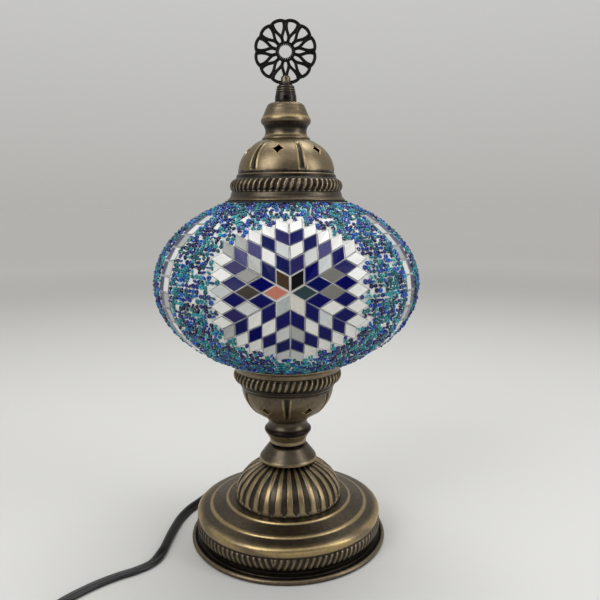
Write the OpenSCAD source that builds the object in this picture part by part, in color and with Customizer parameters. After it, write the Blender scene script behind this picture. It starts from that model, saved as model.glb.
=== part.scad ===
// Mosaic glass table lamp.
// A weighted brass base carries a short threaded pipe, a cast neck and a pressed holder.
// The lampholder stands on the pipe, and an oblate glass globe, covered in plaster, glass
// tiles and seed beads, lifts off the holder. A vented cap with spring clips plugs its top.
// Millimetres, +Z up, origin at the bottom centre of the base, front towards -Y.

/* [Base] */
// Radius of the rolled foot rim, which is the widest part of the base
foot_r = 69; // [66:0.5:72]
// Radius of the rope moulding on the drum
drum_r = 65; // [62:0.5:66]
// Number of flutes on the dome
flutes = 28; // [20:1:36]
// Depth of each flute
flute_depth = 1.4; // [0.5:0.1:1.6]
// Sheet thickness of the spun and pressed brass
sheet_t = 1; // [0.8:0.1:1.2]

/* [Neck and holder] */
// Height of the holder's seat above the table
holder_z = 88; // [86:0.5:90]
// Height of each pressed bell, from its seat to its rim
bell_h = 39.6; // [38:0.2:41]
// Radius of each bell at its rim
bell_r = 38; // [37:0.5:39]
// Vents and ribs around each bell
vents = 6; // [3:1:8]
// Radius of each star-shaped vent
vent_r = 3.5; // [2.5:0.1:4.2]

/* [Shade] */
// Greatest radius of the shade over its beads
shade_r = 88.8; // [84:0.2:92]
// Half height that the shade's oval would have without its mouths
shade_half_h = 60.5; // [57:0.5:64]
// Height of the shade's widest circle above the table
shade_z = 182; // [180:0.5:184]
// Side of one rhombic tile
tile_s = 9; // [8:0.1:9.6]
// Rings of tiles in each star
star_rings = 5; // [3:1:5]
// Number of stars around the shade
stars = 3; // [1:1:4]

/* [Finial] */
// Radius of the openwork rosette
rosette_r = 20.4; // [16:0.2:22]
// Number of petals
petals = 12; // [8:1:16]

/* [Cord] */
// Width of the flat twin cord
cord_w = 6.4; // [5:0.2:7]
// Thickness of the flat twin cord
cord_t = 3.2; // [2.6:0.2:3.6]

/* [Hidden] */
$fn = 96;

brass = [0.50, 0.42, 0.28];
worn_brass = [0.66, 0.56, 0.38];
dark_bronze = [0.16, 0.14, 0.12];
steel = [0.72, 0.72, 0.74];
black = [0.05, 0.05, 0.06];
white_plaster = [0.93, 0.93, 0.90];
cobalt = [0.06, 0.07, 0.42];
violet = [0.24, 0.22, 0.55];
silver = [0.62, 0.62, 0.62];
bead_blue = [0.05, 0.30, 0.55];
phenolic = [0.90, 0.88, 0.82];

fit = 0.1;             // clearance where parts sit on each other
running = 0.06;        // radial clearance of a running fit
bore_r = 5.1;          // bore that the lamp pipe passes through
pipe_r = 5;            // M10 lamp pipe
pipe_bore_r = 3.3;
rod_r = 3;             // M6 rod of the cap

felt_t = 1.1;
pan_t = 1;
rim_r = 1.7;           // rolled bead of the foot
weight_r = 54;
weight_hole_r = 16;
weight_h = 15.4;
pan_top = felt_t + pan_t;
spigot_r = 61.9;       // upstand of the pan, inside the drum

drum_z = 5.9;          // lower lip of the drum
shelf_z = 28.6;        // shelf that the dome stands on
dome_top = 56;
collar_top = 66.6;
neck_z = 68.4;         // lower face of the neck
cap_z = 236.9;         // rim of the cap
crown_z = cap_z + bell_h;
crown_h = 23.3;
stem_z = crown_z + crown_h + 0.2;
stem_h = 17.4;
rosette_z = 332.4;     // centre of the rosette
rosette_t = 2.4;

glass_in = 3.5;        // how far the glass lies under the face of the beads
glass_t = 2.4;
plaster_t = 0.8;
tile_in = 2.1;         // how far the inner face of a tile lies under the beads
tile_t = 1.8;
throat_r = 33.5;       // necks of the glass at both mouths
throat_z = 118.4;      // lower end of the glass, on its rubber seat
throat_top = 243;
skin_r_top = 41.5;     // radius at which the mosaic stops under the cap
skin_r_low = 40;       // and above the holder
star_rise = 4.9;       // centre of each star above the widest circle
star_turn = 1.4;       // the stars' turn from the front
grout = 0.7;           // gap between tiles
divider_w = 6.4;       // width of one column of divider tiles
divider_count = 12;    // tiles in one column

socket_z = 92;
socket_top = 138;
bulb_z = 120;          // lower end of the bulb's screw cap
bulb_r = 17.5;
bulb_h = 97;
screw_r = 5.95;        // screw cap of the bulb

exit_az = 105;         // direction of the cord's exit, from +X towards +Y
exit_z = 11.5;
relief_r0 = 60;        // strain relief: inner end, wall and outer end
relief_r1 = 84;
coil_c = [-80, -167];
coil_out = 37;         // radius of the coil's outer turns, whose inner turns are one cord further in
turn_gap = 0.2;        // between one turn and the next
coil_layers = 3;
tie_t = 0.6;
switch_c = [-138, -142];
switch_size = [26, 60, 16];
switch_split = 8;      // height of the switch's parting line, where the cord enters
rocker_z = 12.4;       // height of the rocker's pivot
rocker_tip = 7;        // the rocker's tilt at rest
pivot_r = 1.2;
plug_c = [-20, -204];
plug_z = 6.7;

// ---------------------------------------------------------------- helpers

function dir(a) = [cos(a), sin(a)];
function arc(c, rx, ry, a0, a1, n) =
    [for (i = [0:n]) c + [rx * cos(a0 + (a1 - a0) * i / n), ry * sin(a0 + (a1 - a0) * i / n)]];
function last(v) = v[len(v) - 1];

// Direction of an outline at point i, from its neighbours
function along(p, i) =
    let (d = p[min(i + 1, len(p) - 1)] - p[max(i - 1, 0)]) d / norm(d);

// A sheet wall: an outline drawn upwards along its outside, closed along its inside
function wall(p, t) =
    concat(p, [for (k = [1:len(p)])
        let (i = len(p) - k, d = along(p, i)) p[i] - t * [d[1], -d[0]]]);

module spin(p) {
    rotate_extrude() polygon(p);
}

module ring(r0, r1, z0, z1) {
    translate([0, 0, z0]) difference() {
        cylinder(r = r1, h = z1 - z0);
        translate([0, 0, -1]) cylinder(r = r0, h = z1 - z0 + 2);
    }
}

// Places its children at each of n equal turns, the first at angle a0
module around(n, a0 = 0) {
    for (i = [0:n - 1]) rotate([0, 0, a0 + 360 * i / n]) children();
}

// ---------------------------------------------------------------- base

module felt_pad() {
    color("darkgreen") cylinder(r = 60, h = felt_t);
}

module base_pan() {
    color(brass) {
        ring(weight_hole_r - 3, foot_r - rim_r, felt_t, pan_top);
        ring(spigot_r - 1, spigot_r + 1, pan_top, drum_z - fit);
        difference() {
            ring(spigot_r - 1, spigot_r, drum_z - fit, drum_z + 2.6);
            rotate([0, 0, exit_az]) translate([spigot_r - 4, -7, drum_z - fit / 2]) cube([8, 14, 4]);
        }
        rotate_extrude() translate([foot_r - rim_r, rim_r]) circle(r = rim_r);
    }
}

module base_weight() {
    color("dimgray") ring(weight_hole_r, weight_r, pan_top, pan_top + weight_h);
}

// Stepped drum: lip, rope moulding, rounded shoulder and three treads
function drum_outline() = concat(
    [[drum_r - 1.5, drum_z], [drum_r - 1.2, 8.4]],
    arc([drum_r - 2, 12.4], 2, 3.4, -60, 60, 6),
    [[drum_r - 0.6, 16.6]],
    arc([drum_r - 3, 19.6], 3, 3, -15, 75, 6),
    [[56.4, 23.9]],
    arc([54.6, 24.2], 0.9, 0.9, 0, 90, 3),
    [[45, 27.4]],
    arc([43.2, 28], 0.8, 0.8, 0, 90, 3),
    [[42.4, shelf_z], [34, shelf_z]]);

module base_drum() {
    color(worn_brass) difference() {
        spin(wall(drum_outline(), sheet_t));
        rotate([0, 0, exit_az]) translate([0, 0, exit_z]) rotate([0, 90, 0])
            cylinder(r = 4.3, h = 80);
    }
}

// Fluted dome: steep at the foot and rounding over to a flat seat for the collar
function dome_outline() = concat(
    [[37.8, shelf_z + fit], [37.8, shelf_z + 0.9], [37.4, 31.4]],
    arc([6, 31.4], 31.2, 24.2, 8, 68, 10),
    [[13, dome_top - 0.6], [11, dome_top], [bore_r, dome_top]]);

module base_dome() {
    color(brass) difference() {
        spin(wall(dome_outline(), sheet_t + flute_depth));
        around(flutes, 180 / flutes)
            translate([37.8 - flute_depth, -1.7, shelf_z + 1.4]) rotate([0, -4, 0])
                cube([4, 3.4, 12]);
    }
}

module base_collar() {
    color(brass) spin(wall([
        [20, dome_top + fit], [20.2, dome_top + 1.4], [19.6, dome_top + 2.6],
        [16.6, 62.6], [13.8, collar_top - 0.4], [12.8, collar_top], [bore_r, collar_top]], sheet_t));
}

module neck_spacer() {
    color(dark_bronze) ring(bore_r, 11, collar_top, neck_z);
}

// ---------------------------------------------------------------- pipe and its nuts

module lamp_pipe() {
    color(steel) ring(pipe_bore_r, pipe_r, 47, 99);
}

module hex_nut(af, h, r) {
    difference() {
        cylinder(d = af / cos(30), h = h, $fn = 6);
        translate([0, 0, -1]) cylinder(r = r, h = h + 2);
    }
}

module pipe_nuts() {
    color(steel) {
        translate([0, 0, dome_top - sheet_t - flute_depth - 5.4]) hex_nut(14, 4, pipe_r);
        translate([0, 0, holder_z + 2.1]) hex_nut(14, 1.8, pipe_r);
    }
}

module pipe_washers() {
    color(steel) {
        ring(pipe_r, 10, dome_top - sheet_t - flute_depth - 1.4, dome_top - sheet_t - flute_depth);
        ring(pipe_r, 11, holder_z + 1.1, holder_z + 2.1);
    }
}

// ---------------------------------------------------------------- neck, crown and bells

// Vase shape shared by the neck and the crown: a waist, then a bulge that draws in again
function vase(h) = concat(
    [[16, 0], [16, 0.03 * h], [14.2, 0.1 * h]],
    arc([15, 0.23 * h], 1.4, 0.13 * h, 210, 150, 3),
    [[14.6, 0.38 * h]],
    arc([14.9, 0.52 * h], 1.6, 0.1 * h, -45, 60, 4),
    [[14, 0.76 * h]]);

module holder_neck() {
    neck_h = holder_z - fit - neck_z;
    color(dark_bronze) translate([0, 0, holder_z - fit]) mirror([0, 0, 1]) difference() {
        spin(concat([[0, 0]], vase(neck_h), [[12.9, 0.86 * neck_h], [12.8, neck_h], [0, neck_h]]));
        translate([0, 0, -1]) cylinder(r = bore_r, h = neck_h + 2);
    }
}

// Pressed bell, from its rim upwards: flared skirt, rope moulding, bead line and dome
function bell_outline() = concat(
    [[bell_r + 1.6, 0], [bell_r + 1.6, 0.7], [bell_r - 0.2, 2.4], [bell_r - 1.2, 5.2]],
    arc([bell_r - 7.6, 9.95], 6.7, 6, -35, 65, 8),
    [[bell_r - 4.8, 16], [bell_r - 4.9, 16.6], [bell_r - 6, 17.2]],
    arc([0, 18.1], bell_r - 6.1, bell_h - 14.7, 0, 57, 10),
    [[16.4, bell_h - 0.6], [15.4, bell_h], [bore_r, bell_h]]);

function star(r) = [for (i = [0:7]) (i % 2 == 0 ? r : 0.5 * r) * dir(45 * i)];

// Star punched square to the dome, two thirds of the way up it
module vent() {
    translate([0, 0, bell_h - 31.15]) rotate([0, 46, 0]) translate([0, 0, 25])
        linear_extrude(height = 20) scale([1.35, 1]) polygon(star(vent_r));
}

module bell(vent_az) {
    difference() {
        spin(wall(bell_outline(), sheet_t));
        around(vents, vent_az) vent();
    }
}

module holder_bowl() {
    color(worn_brass) translate([0, 0, holder_z + bell_h]) mirror([0, 0, 1]) bell(-60);
}

module seat_gasket() {
    color(black) ring(30, 33.2, throat_z - 4.7, throat_z - 0.2);
}

// ---------------------------------------------------------------- lampholder

module socket_housing() {
    color(phenolic) difference() {
        union() {
            translate([0, 0, socket_z]) cylinder(r1 = 9, r2 = 13.6, h = 8);
            ring(0.5, 13.6, socket_z + 8, socket_top);
        }
        translate([0, 0, socket_z - 1]) cylinder(r = pipe_r, h = 8);
        translate([0, 0, socket_z + 10]) cylinder(r = screw_r + 1.2, h = 60);
        translate([0, 0, socket_z + 5]) cylinder(r = pipe_bore_r, h = 8);
    }
}

module socket_sleeve() {
    color(worn_brass) ring(screw_r + 0.08, screw_r + 1.1, socket_z + 22, socket_top - 1);
}

module socket_contact() {
    color(worn_brass) {
        translate([0, 0, socket_z + 10.1]) cylinder(r = 4, h = 1);
        translate([-2, -2, socket_z + 11]) cube([1, 4, 14.4]);
        translate([-2, -2, socket_z + 25]) cube([4, 4, 0.6]);
    }
}

// ---------------------------------------------------------------- bulb

module bulb_cap() {
    color(worn_brass) ring(screw_r - 0.5, screw_r, bulb_z, bulb_z + 19);
}

module bulb_insulator() {
    color(black) {
        translate([0, 0, bulb_z - 1.6]) cylinder(r1 = 3, r2 = screw_r - 0.7, h = 2.6);
        translate([0, 0, bulb_z - 2.2]) cylinder(r = 2, h = 0.7);
    }
}

function candle_outline() = concat(
    [[screw_r - 0.6, bulb_z + 14], [screw_r - 0.6, bulb_z + 20]],
    arc([9, bulb_z + 44], bulb_r - 9, 22, -60, 0, 6),
    arc([0, bulb_z + 44], bulb_r, bulb_h - 44, 8, 84, 9));

module bulb_glass() {
    color([0.95, 0.93, 0.85, 0.5]) spin(wall(candle_outline(), 0.7));
}

module bulb_stem() {
    color("white") {
        translate([0, 0, bulb_z + 6]) cylinder(r1 = 4, r2 = 2.2, h = 18);
        translate([0, 0, bulb_z + 24]) cylinder(r = 1.2, h = 10);
    }
}

module bulb_filaments() {
    color("gold") around(4, 45) translate([2.4, 0, bulb_z + 25]) rotate([0, 6, 0])
        cylinder(r = 0.7, h = 34);
}

// ---------------------------------------------------------------- shade

// A point of the oval that lies d under the face of the beads, at latitude t
function oval(t, d) = [(shade_r - d) * cos(t), shade_z + (shade_half_h - d) * sin(t)];
function oval_r(t) = shade_r * cos(t);
// Latitude at which the oval d under the beads has radius r
function lat(r, d) = acos(r / (shade_r - d));
// Latitude reached after an arc of length s from the widest circle, by small steps
function reach(s, t = 0) =
    abs(s) < 0.001 ? t :
    let (g = norm([shade_r * sin(t), shade_half_h * cos(t)]), h = max(-0.5, min(0.5, s)))
    reach(s - h, t + h / g * 180 / PI);

// Zone of an oval shell between two radii, from the lower mouth to the upper one
module shell(d, t, r_low, r_top) {
    n = 24;
    a = -lat(r_low, d);
    b = lat(r_top, d);
    spin(concat(
        [for (i = [0:n]) oval(a + (b - a) * i / n, d)],
        [for (i = [0:n]) oval(b + (a - b) * i / n, d + t)]));
}

module glass_globe() {
    n = 24;
    a = lat(throat_r + 1.5, glass_in);
    outline = concat(
        [[throat_r, throat_z], [throat_r, oval(-a, glass_in)[1] - 0.8]],
        [for (i = [0:n]) oval(a * (2 * i / n - 1), glass_in)],
        [[throat_r, oval(a, glass_in)[1] + 0.8], [throat_r, throat_top]]);
    color([0.80, 0.86, 0.90, 0.5]) spin(wall(outline, glass_t));
}

module plaster_coat() {
    color(white_plaster) shell(glass_in - fit - plaster_t, plaster_t, skin_r_low - 1, skin_r_top - 1);
}

// Point of the shade at arc length v up from its widest circle and u sideways,
// lying d under the face of the beads
function on_shade(u, v, d) =
    let (t = reach(v), az = u / oval_r(t) * 180 / PI, p = oval(t, d))
    [p[0] * sin(az), -p[0] * cos(az), p[1]];

// One flat tile from its four corners in the u, v plane
module tile(q) {
    low = [for (c = q) on_shade(c[0], c[1], tile_in)];
    top = [for (c = q) on_shade(c[0], c[1], tile_in - tile_t)];
    polyhedron(concat(low, top), [
        [0, 1, 2], [0, 2, 3], [4, 6, 5], [4, 7, 6],
        [0, 5, 1], [0, 4, 5], [1, 6, 2], [1, 5, 6],
        [2, 7, 3], [2, 6, 7], [3, 4, 0], [3, 7, 4]]);
}

// Corners of a cell with edges a and b, drawn in from its neighbours by the grout
function cell(o, a, b) =
    let (k = grout / 2 / norm(a), m = grout / 2 / norm(b))
    [o + k * a + m * b, o + (1 - k) * a + m * b, o + (1 - k) * a + (1 - m) * b, o + k * a + (1 - m) * b];

// Tiles of one star whose ring number is in the list; each of its six arms is a lozenge
// of small lozenges
module star_tiles(ring_list) {
    for (arm = [0:5], i = [0:star_rings - 1], j = [0:star_rings - 1])
        if (len(search(i + j + 1, ring_list)) > 0) {
            a = tile_s * dir(60 * arm - 30);
            b = tile_s * dir(60 * arm + 30);
            tile([for (c = cell(i * a + j * b, a, b)) c + [0, star_rise]]);
        }
}

module star_set(ring_list) {
    around(stars, star_turn) star_tiles(ring_list);
}

module mirror_tiles() {
    color(silver) star_set([1]);
}

module cobalt_tiles() {
    color(cobalt) star_set([2, 4]);
}

module clear_tiles() {
    color("white") star_set([3, 5]);
}

// Two columns of tiles run from mouth to mouth half way between the stars. The last pair is
// turned over, so that the same glass faces the front star on both of its sides
module divider(side) {
    span = 118;
    step = span / divider_count;
    for (i = [0:stars - 1], k = [0:divider_count - 1])
        rotate([0, 0, star_turn + (i + 0.5) * 360 / stars])
            tile(cell([min(i == stars - 1 ? -side : side, 0) * divider_w, k * step - span / 2],
                [divider_w, 0], [0, step]));
}

module divider_clear_tiles() {
    color("white") divider(-1);
}

module divider_violet_tiles() {
    color(violet) divider(1);
}

// The crowd of seed beads, as one even layer with windows for the tiles
module seed_beads() {
    color(bead_blue) difference() {
        shell(0, 2.4, skin_r_low, skin_r_top);
        around(stars, star_turn) translate([0, -40, shade_z + star_rise - 2]) intersection() {
            rotate([90, 0, 0]) cylinder(r = 49, h = 60);
            translate([-60, -60, -44.5]) cube([120, 60, 87]);
        }
        around(stars, star_turn + 180 / stars)
            translate([-divider_w - 0.6, -100, shade_z - 49.5]) cube([2 * divider_w + 1.2, 60, 99]);
    }
}

// ---------------------------------------------------------------- cap and finial

module cap_gasket() {
    color(black) ring(34.2, 41, cap_z - 1.2, cap_z - 0.1);
}

module cap_bell() {
    color(worn_brass) translate([0, 0, cap_z]) bell(-100);
}

module cap_crown() {
    outline = concat(vase(crown_h), [[12.6, 0.9 * crown_h]],
        arc([10.4, 0.9 * crown_h], 2, 0.1 * crown_h, 0, 90, 3), [[rod_r + 0.1, crown_h]]);
    color(worn_brass) translate([0, 0, crown_z + fit]) spin(wall(outline, sheet_t));
}

module cap_rod() {
    color(steel) translate([0, 0, crown_z - 8]) cylinder(r = rod_r, h = 40);
}

module cap_nut() {
    color(steel) {
        translate([0, 0, crown_z - 6.6]) hex_nut(10, 3, rod_r);
        ring(rod_r, 14, crown_z - 2.4, crown_z - sheet_t);
    }
}

// Bent strip: a centre line of points, thickened to t and w wide
module bent_strip(p, t, w) {
    rotate([90, 0, 0]) linear_extrude(height = w, center = true)
        polygon(concat(p, [for (k = [1:len(p)])
            let (i = len(p) - k, d = along(p, i)) p[i] + t * [-d[1], d[0]]]));
}

module cap_springs() {
    color(steel) translate([0, 0, crown_z]) {
        ring(rod_r, 8, -3.4, -2.6);
        around(3, 30) bent_strip([[7, -3.4], [16, -5.4], [25, -13], [28.8, -24], [30, -36],
            [30.2, -40], [28.4, -43], [26.4, -44]], 0.7, 5);
    }
}

// Ringed stem: a barrel, three close rings and a cone that ends in a rounded tip
function stem_outline() = concat(
    [[6.9, 0], [7.15, 1.6], [7, 4.4], [6.5, 6.3]],
    arc([5.8, 7.2], 0.75, 0.75, -60, 60, 3),
    arc([5.45, 8.7], 0.75, 0.75, -60, 60, 3),
    arc([5.1, 10.2], 0.75, 0.75, -60, 60, 3),
    [[4.7, 11.1], [3.7, 13.2], [3.1, 15]],
    arc([1.5, 15.5], 1.6, 1.9, 0, 90, 4));

module finial_stem() {
    color(dark_bronze) translate([0, 0, stem_z]) difference() {
        spin(concat([[0, 0]], stem_outline(), [[0, stem_h]]));
        translate([0, 0, -1]) cylinder(r = rod_r + running, h = 10.4);
        translate([-10, -rosette_t / 2 - 0.05, 11.4]) cube([20, rosette_t + 0.1, 10]);
        translate([0, 0, 2.8]) rotate([90, 0, 0]) cylinder(r = 1.1, h = 10);
    }
}

// Openwork disc: a ring of petal loops, pointed spokes, a toothed inner ring and an open hub
module rosette_pattern() {
    loop_r = rosette_r * sin(180 / petals) * 0.98;
    loop_c = rosette_r - loop_r;
    for (i = [0:petals - 1]) rotate(90 + (i + 0.5) * 360 / petals) {
        translate([loop_c, 0]) difference() {
            circle(r = loop_r, $fn = 32);
            circle(r = loop_r - 1.3, $fn = 32);
            translate([-2 * loop_r, -loop_r]) square([1.4 * loop_r, 2 * loop_r]);
        }
    }
    for (i = [0:petals - 1]) rotate(90 + i * 360 / petals)
        difference() {
            polygon([[7.6, -1.2], [12, -0.9], [17.4, -1.5], [17.4, 1.5], [12, 0.9], [7.6, 1.2]]);
            translate([9.4, 0]) circle(r = 0.5, $fn = 16);
        }
    difference() {
        circle(r = 8.2);
        circle(r = 5.4);
    }
}

module finial_rosette() {
    color(dark_bronze) translate([0, 0, rosette_z]) rotate([90, 0, 0])
        linear_extrude(height = rosette_t, center = true) rosette_pattern();
}

module finial_pin() {
    color(black) translate([0, -3.2, stem_z + 2.8]) rotate([90, 0, 0]) cylinder(r = 1.1, h = 4.2);
}

// ---------------------------------------------------------------- cord

// Smooth curve through points: Catmull-Rom, n steps to each span
function knot(p, i) = p[max(0, min(len(p) - 1, i))];
function curve(p, n) = concat(
    [for (i = [0:len(p) - 2], k = [0:n - 1])
        let (s = k / n, a = knot(p, i - 1), b = p[i], c = p[i + 1], d = knot(p, i + 2))
        0.5 * (2 * b + s * (c - a) + s * s * (2 * a - 5 * b + 4 * c - d)
            + s * s * s * (3 * b - a - 3 * c + d))],
    [last(p)]);

// A cord of eight sides, w wide and t thick, lying flat along a list of points
module flat_tube(p, w, t) {
    sides = 8;
    n = len(p);
    function across(i) =
        let (d = p[min(i + 1, n - 1)] - p[max(i - 1, 0)], s = cross(d, [0, 0, 1])) s / norm(s);
    function up(i) =
        let (d = p[min(i + 1, n - 1)] - p[max(i - 1, 0)]) cross(across(i), d / norm(d));
    rings = [for (i = [0:n - 1], k = [0:sides - 1])
        let (a = 360 * (k + 0.5) / sides)
        p[i] + across(i) * w / 2 * cos(a) / cos(22.5) + up(i) * t / 2 * sin(a) / cos(22.5)];
    walls = [for (i = [0:n - 2], k = [0:sides - 1])
        let (a = i * sides + k, b = i * sides + (k + 1) % sides)
        each [[a, b, b + sides], [a, b + sides, a + sides]]];
    ends = [for (k = [1:sides - 2])
        each [[0, k + 1, k], [(n - 1) * sides, (n - 1) * sides + k, (n - 1) * sides + k + 1]]];
    polyhedron(rings, concat(walls, ends));
}

cord_z = cord_t / 2;
exit_dir = [cos(exit_az), sin(exit_az), 0];

coil_r0 = coil_out - 1.5 * (cord_w + turn_gap);
coil_r1 = coil_out + 0.5 * (cord_w + turn_gap);
coil_h = coil_layers * (cord_t + turn_gap / 2);
coil_y = coil_c[1] - coil_out;
coil_top_z = tie_t + coil_h - cord_t / 2;

// Route of the cord outside the lamp, from its strain relief to the switch
RUN = [relief_r1 * exit_dir + [0, 0, exit_z], [-22.8, 85, exit_z],
    [-25, 89.8, 9.8], [-30.5, 93.3, 6], [-39.5, 91.3, 3], [-50, 84, cord_z], [-59, 75, cord_z], [-66, 64, cord_z], [-70, 55, cord_z],
    [-71, 46, cord_z], [-72.5, 37, cord_z], [-77, 25, cord_z],
    [-81, 11, cord_z], [-83, -5, cord_z], [-84, -20, cord_z], [-85, -34, cord_z],
    [-89, -45, cord_z], [-97, -53, cord_z], [-108, -60, cord_z], [-119, -69, cord_z],
    [-130, -81, cord_z], [-136, -91, 2], [-138, -101, 4], [-138, -111.2, switch_split]];
// From the switch to the coil
LINK = [[-138, -172.8, switch_split], [-138, -180, 4.4], [-134, -192, 2], [-125, -200, cord_z],
    [-112, coil_y, cord_z], [-94, coil_y, tie_t + cord_z]];
// From the coil to the plug
TAIL = [[-66, coil_y, coil_top_z], [-56, coil_y, 8], [-46.8, coil_y, plug_z]];

module cord_run() {
    color(black) flat_tube(curve(RUN, 2), cord_w, cord_t);
}

module cord_link() {
    color(black) flat_tube(curve(LINK, 2), cord_w, cord_t);
}

module cord_tail() {
    color(black) flat_tube(curve(TAIL, 2), cord_w, cord_t);
}

module cord_coil() {
    color(black) translate([coil_c[0], coil_c[1], tie_t]) ring(coil_r0, coil_r1, 0, coil_h);
}

module coil_tie() {
    w = coil_r1 - coil_r0 + 0.6;
    color("dimgray") translate([coil_c[0], coil_c[1], 0]) rotate([0, 0, 60])
        translate([coil_r0 - 0.5 + w / 2, 0, coil_h / 2 + tie_t]) difference() {
            cube([w + 2 * tie_t, 8, coil_h + 2 * tie_t], center = true);
            cube([w, 10, coil_h], center = true);
        }
}

// Tapered sleeve with a flange on each side of the drum's wall
module strain_relief() {
    color(black) rotate([0, 0, exit_az]) translate([0, 0, exit_z]) rotate([0, 90, 0]) {
        translate([0, 0, relief_r0]) cylinder(r = 5.6, h = 1.6);
        translate([0, 0, relief_r0]) cylinder(r = 4.1, h = 7);
        translate([0, 0, 65.2]) cylinder(r = 6.2, h = 1.6);
        translate([0, 0, 66]) cylinder(r1 = 5, r2 = 3.6, h = relief_r1 - 66);
    }
}

// Lead inside the lamp: over the weight, up the dome and through the pipe to the lampholder
LEAD_OUT = [[59.4, exit_z], [57.2, 12.2], [56.4, 15], [55.8, 18], [52, 20.8], [42, 21.4], [30, 24], [16, 31], [5, 40]];

module inner_lead() {
    points = concat([for (q = LEAD_OUT) [q[0] * cos(exit_az), q[0] * sin(exit_az), q[1]]],
        [[0.4, 0, 46], [0, 0, 56], [0, 0, 76], [0, 0, socket_z + 9.4]]);
    n = len(points);
    function across(i) = [sin(exit_az), -cos(exit_az), 0];
    color("white") union() {
        sides = 8;
        rings = [for (i = [0:n - 1], k = [0:sides - 1])
            let (d = points[min(i + 1, n - 1)] - points[max(i - 1, 0)],
                s = across(i), u = cross(s, d / norm(d)), a = 45 * k)
            points[i] + 2 * (s * cos(a) + u / norm(u) * sin(a))];
        walls = [for (i = [0:n - 2], k = [0:sides - 1])
            let (a = i * sides + k, b = i * sides + (k + 1) % sides)
            each [[a, b, b + sides], [a, b + sides, a + sides]]];
        ends = [for (k = [1:sides - 2])
            each [[0, k + 1, k], [(n - 1) * sides, (n - 1) * sides + k, (n - 1) * sides + k + 1]]];
        polyhedron(rings, concat(walls, ends));
    }
}

// ---------------------------------------------------------------- switch and plug

// A box with rounded upright edges
module slab(size, r) {
    x = size[0] / 2 - r;
    y = size[1] / 2 - r;
    hull() for (i = [-1, 1], j = [-1, 1])
        translate([i * x, j * y, 0]) cylinder(r = r, h = size[2], $fn = 32);
}

module at_switch() {
    translate([switch_c[0], switch_c[1], 0]) children();
}

// Hollow inside both halves of the switch, 2 above its floor and 2 below its top
module switch_hollow() {
    translate([0, 0, 2]) slab([switch_size[0] - 6, switch_size[1] - 16, switch_size[2] - 4], 3);
}

module switch_base() {
    color(black) at_switch() difference() {
        slab([switch_size[0], switch_size[1], switch_split], 7);
        switch_hollow();
    }
}

// Upper half, with a slot for the rocker between two bearing blocks
module switch_cover() {
    color(black) at_switch() difference() {
        union() {
            difference() {
                translate([0, 0, switch_split])
                    slab([switch_size[0], switch_size[1], switch_size[2] - switch_split], 7);
                switch_hollow();
            }
            translate([-9, -3, rocker_z - 2.6]) cube([18, 6, 5]);
        }
        translate([-5.6, -10.6, 8]) cube([11.2, 21.2, 12]);
        translate([-8, 0, rocker_z]) rotate([0, 90, 0]) cylinder(r = pivot_r + running, h = 16);
        for (j = [-1, 1]) translate([0, j * 25, 6]) cylinder(r = 2.6, h = 12);
    }
}

module switch_screws() {
    color(steel) at_switch() for (j = [-1, 1])
        translate([0, j * 25, 8]) cylinder(r = 2.5, h = 7);
}

// Rocker with two trunnions, tipped to its off side at rest
module switch_rocker() {
    color("dimgray") at_switch() translate([0, 0, rocker_z]) rotate([rocker_tip, 0, 0]) {
        rotate([90, 0, 90]) linear_extrude(height = 10, center = true)
            polygon([[-9, -1.4], [9, -1.4], [9.3, 5.2], [0, 3.6], [-9.3, 5.2]]);
        rotate([0, 90, 0]) cylinder(r = pivot_r, h = 14, center = true);
    }
}

module plug_body() {
    color(black) translate([plug_c[0], plug_c[1], plug_z]) rotate([0, 0, -90]) rotate([-90, 0, 0]) {
        translate([0, 0, -26]) cylinder(r1 = 3.6, r2 = 5.4, h = 14);
        hull() {
            translate([0, 0, -13]) cylinder(r = 5.6, h = 2, $fn = 32);
            for (i = [-1, 1]) translate([i * 6.5, 0, 8]) cylinder(r = 6.6, h = 4, $fn = 32);
        }
    }
}

module plug_blades() {
    color(worn_brass) for (i = [-1, 1])
        translate([plug_c[0] + 12, plug_c[1] + i * 6.35 - 0.75, plug_z - 3.2]) cube([16, 1.5, 6.4]);
}

felt_pad();
base_pan();
base_weight();
base_drum();
base_dome();
base_collar();
neck_spacer();
lamp_pipe();
pipe_nuts();
pipe_washers();
holder_neck();
holder_bowl();
seat_gasket();
socket_housing();
socket_sleeve();
socket_contact();
inner_lead();
strain_relief();
cord_run();
cord_link();
cord_tail();
cord_coil();
coil_tie();
switch_base();
switch_cover();
switch_screws();
switch_rocker();
plug_body();
plug_blades();
bulb_cap();
bulb_insulator();
bulb_glass();
bulb_stem();
bulb_filaments();
glass_globe();
plaster_coat();
mirror_tiles();
cobalt_tiles();
clear_tiles();
divider_clear_tiles();
divider_violet_tiles();
seed_beads();
cap_gasket();
cap_bell();
cap_crown();
cap_rod();
cap_nut();
cap_springs();
finial_stem();
finial_rosette();
finial_pin();
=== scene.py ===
"""Mosaic glass table lamp: its looks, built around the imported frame.

The lengths below are millimetres and become metres where a mesh is made. Azimuth is measured
anticlockwise from +X, so the front of the lamp is at -90 degrees.
"""

import bmesh
import bpy
import numpy as np
from mathutils import Matrix


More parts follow.
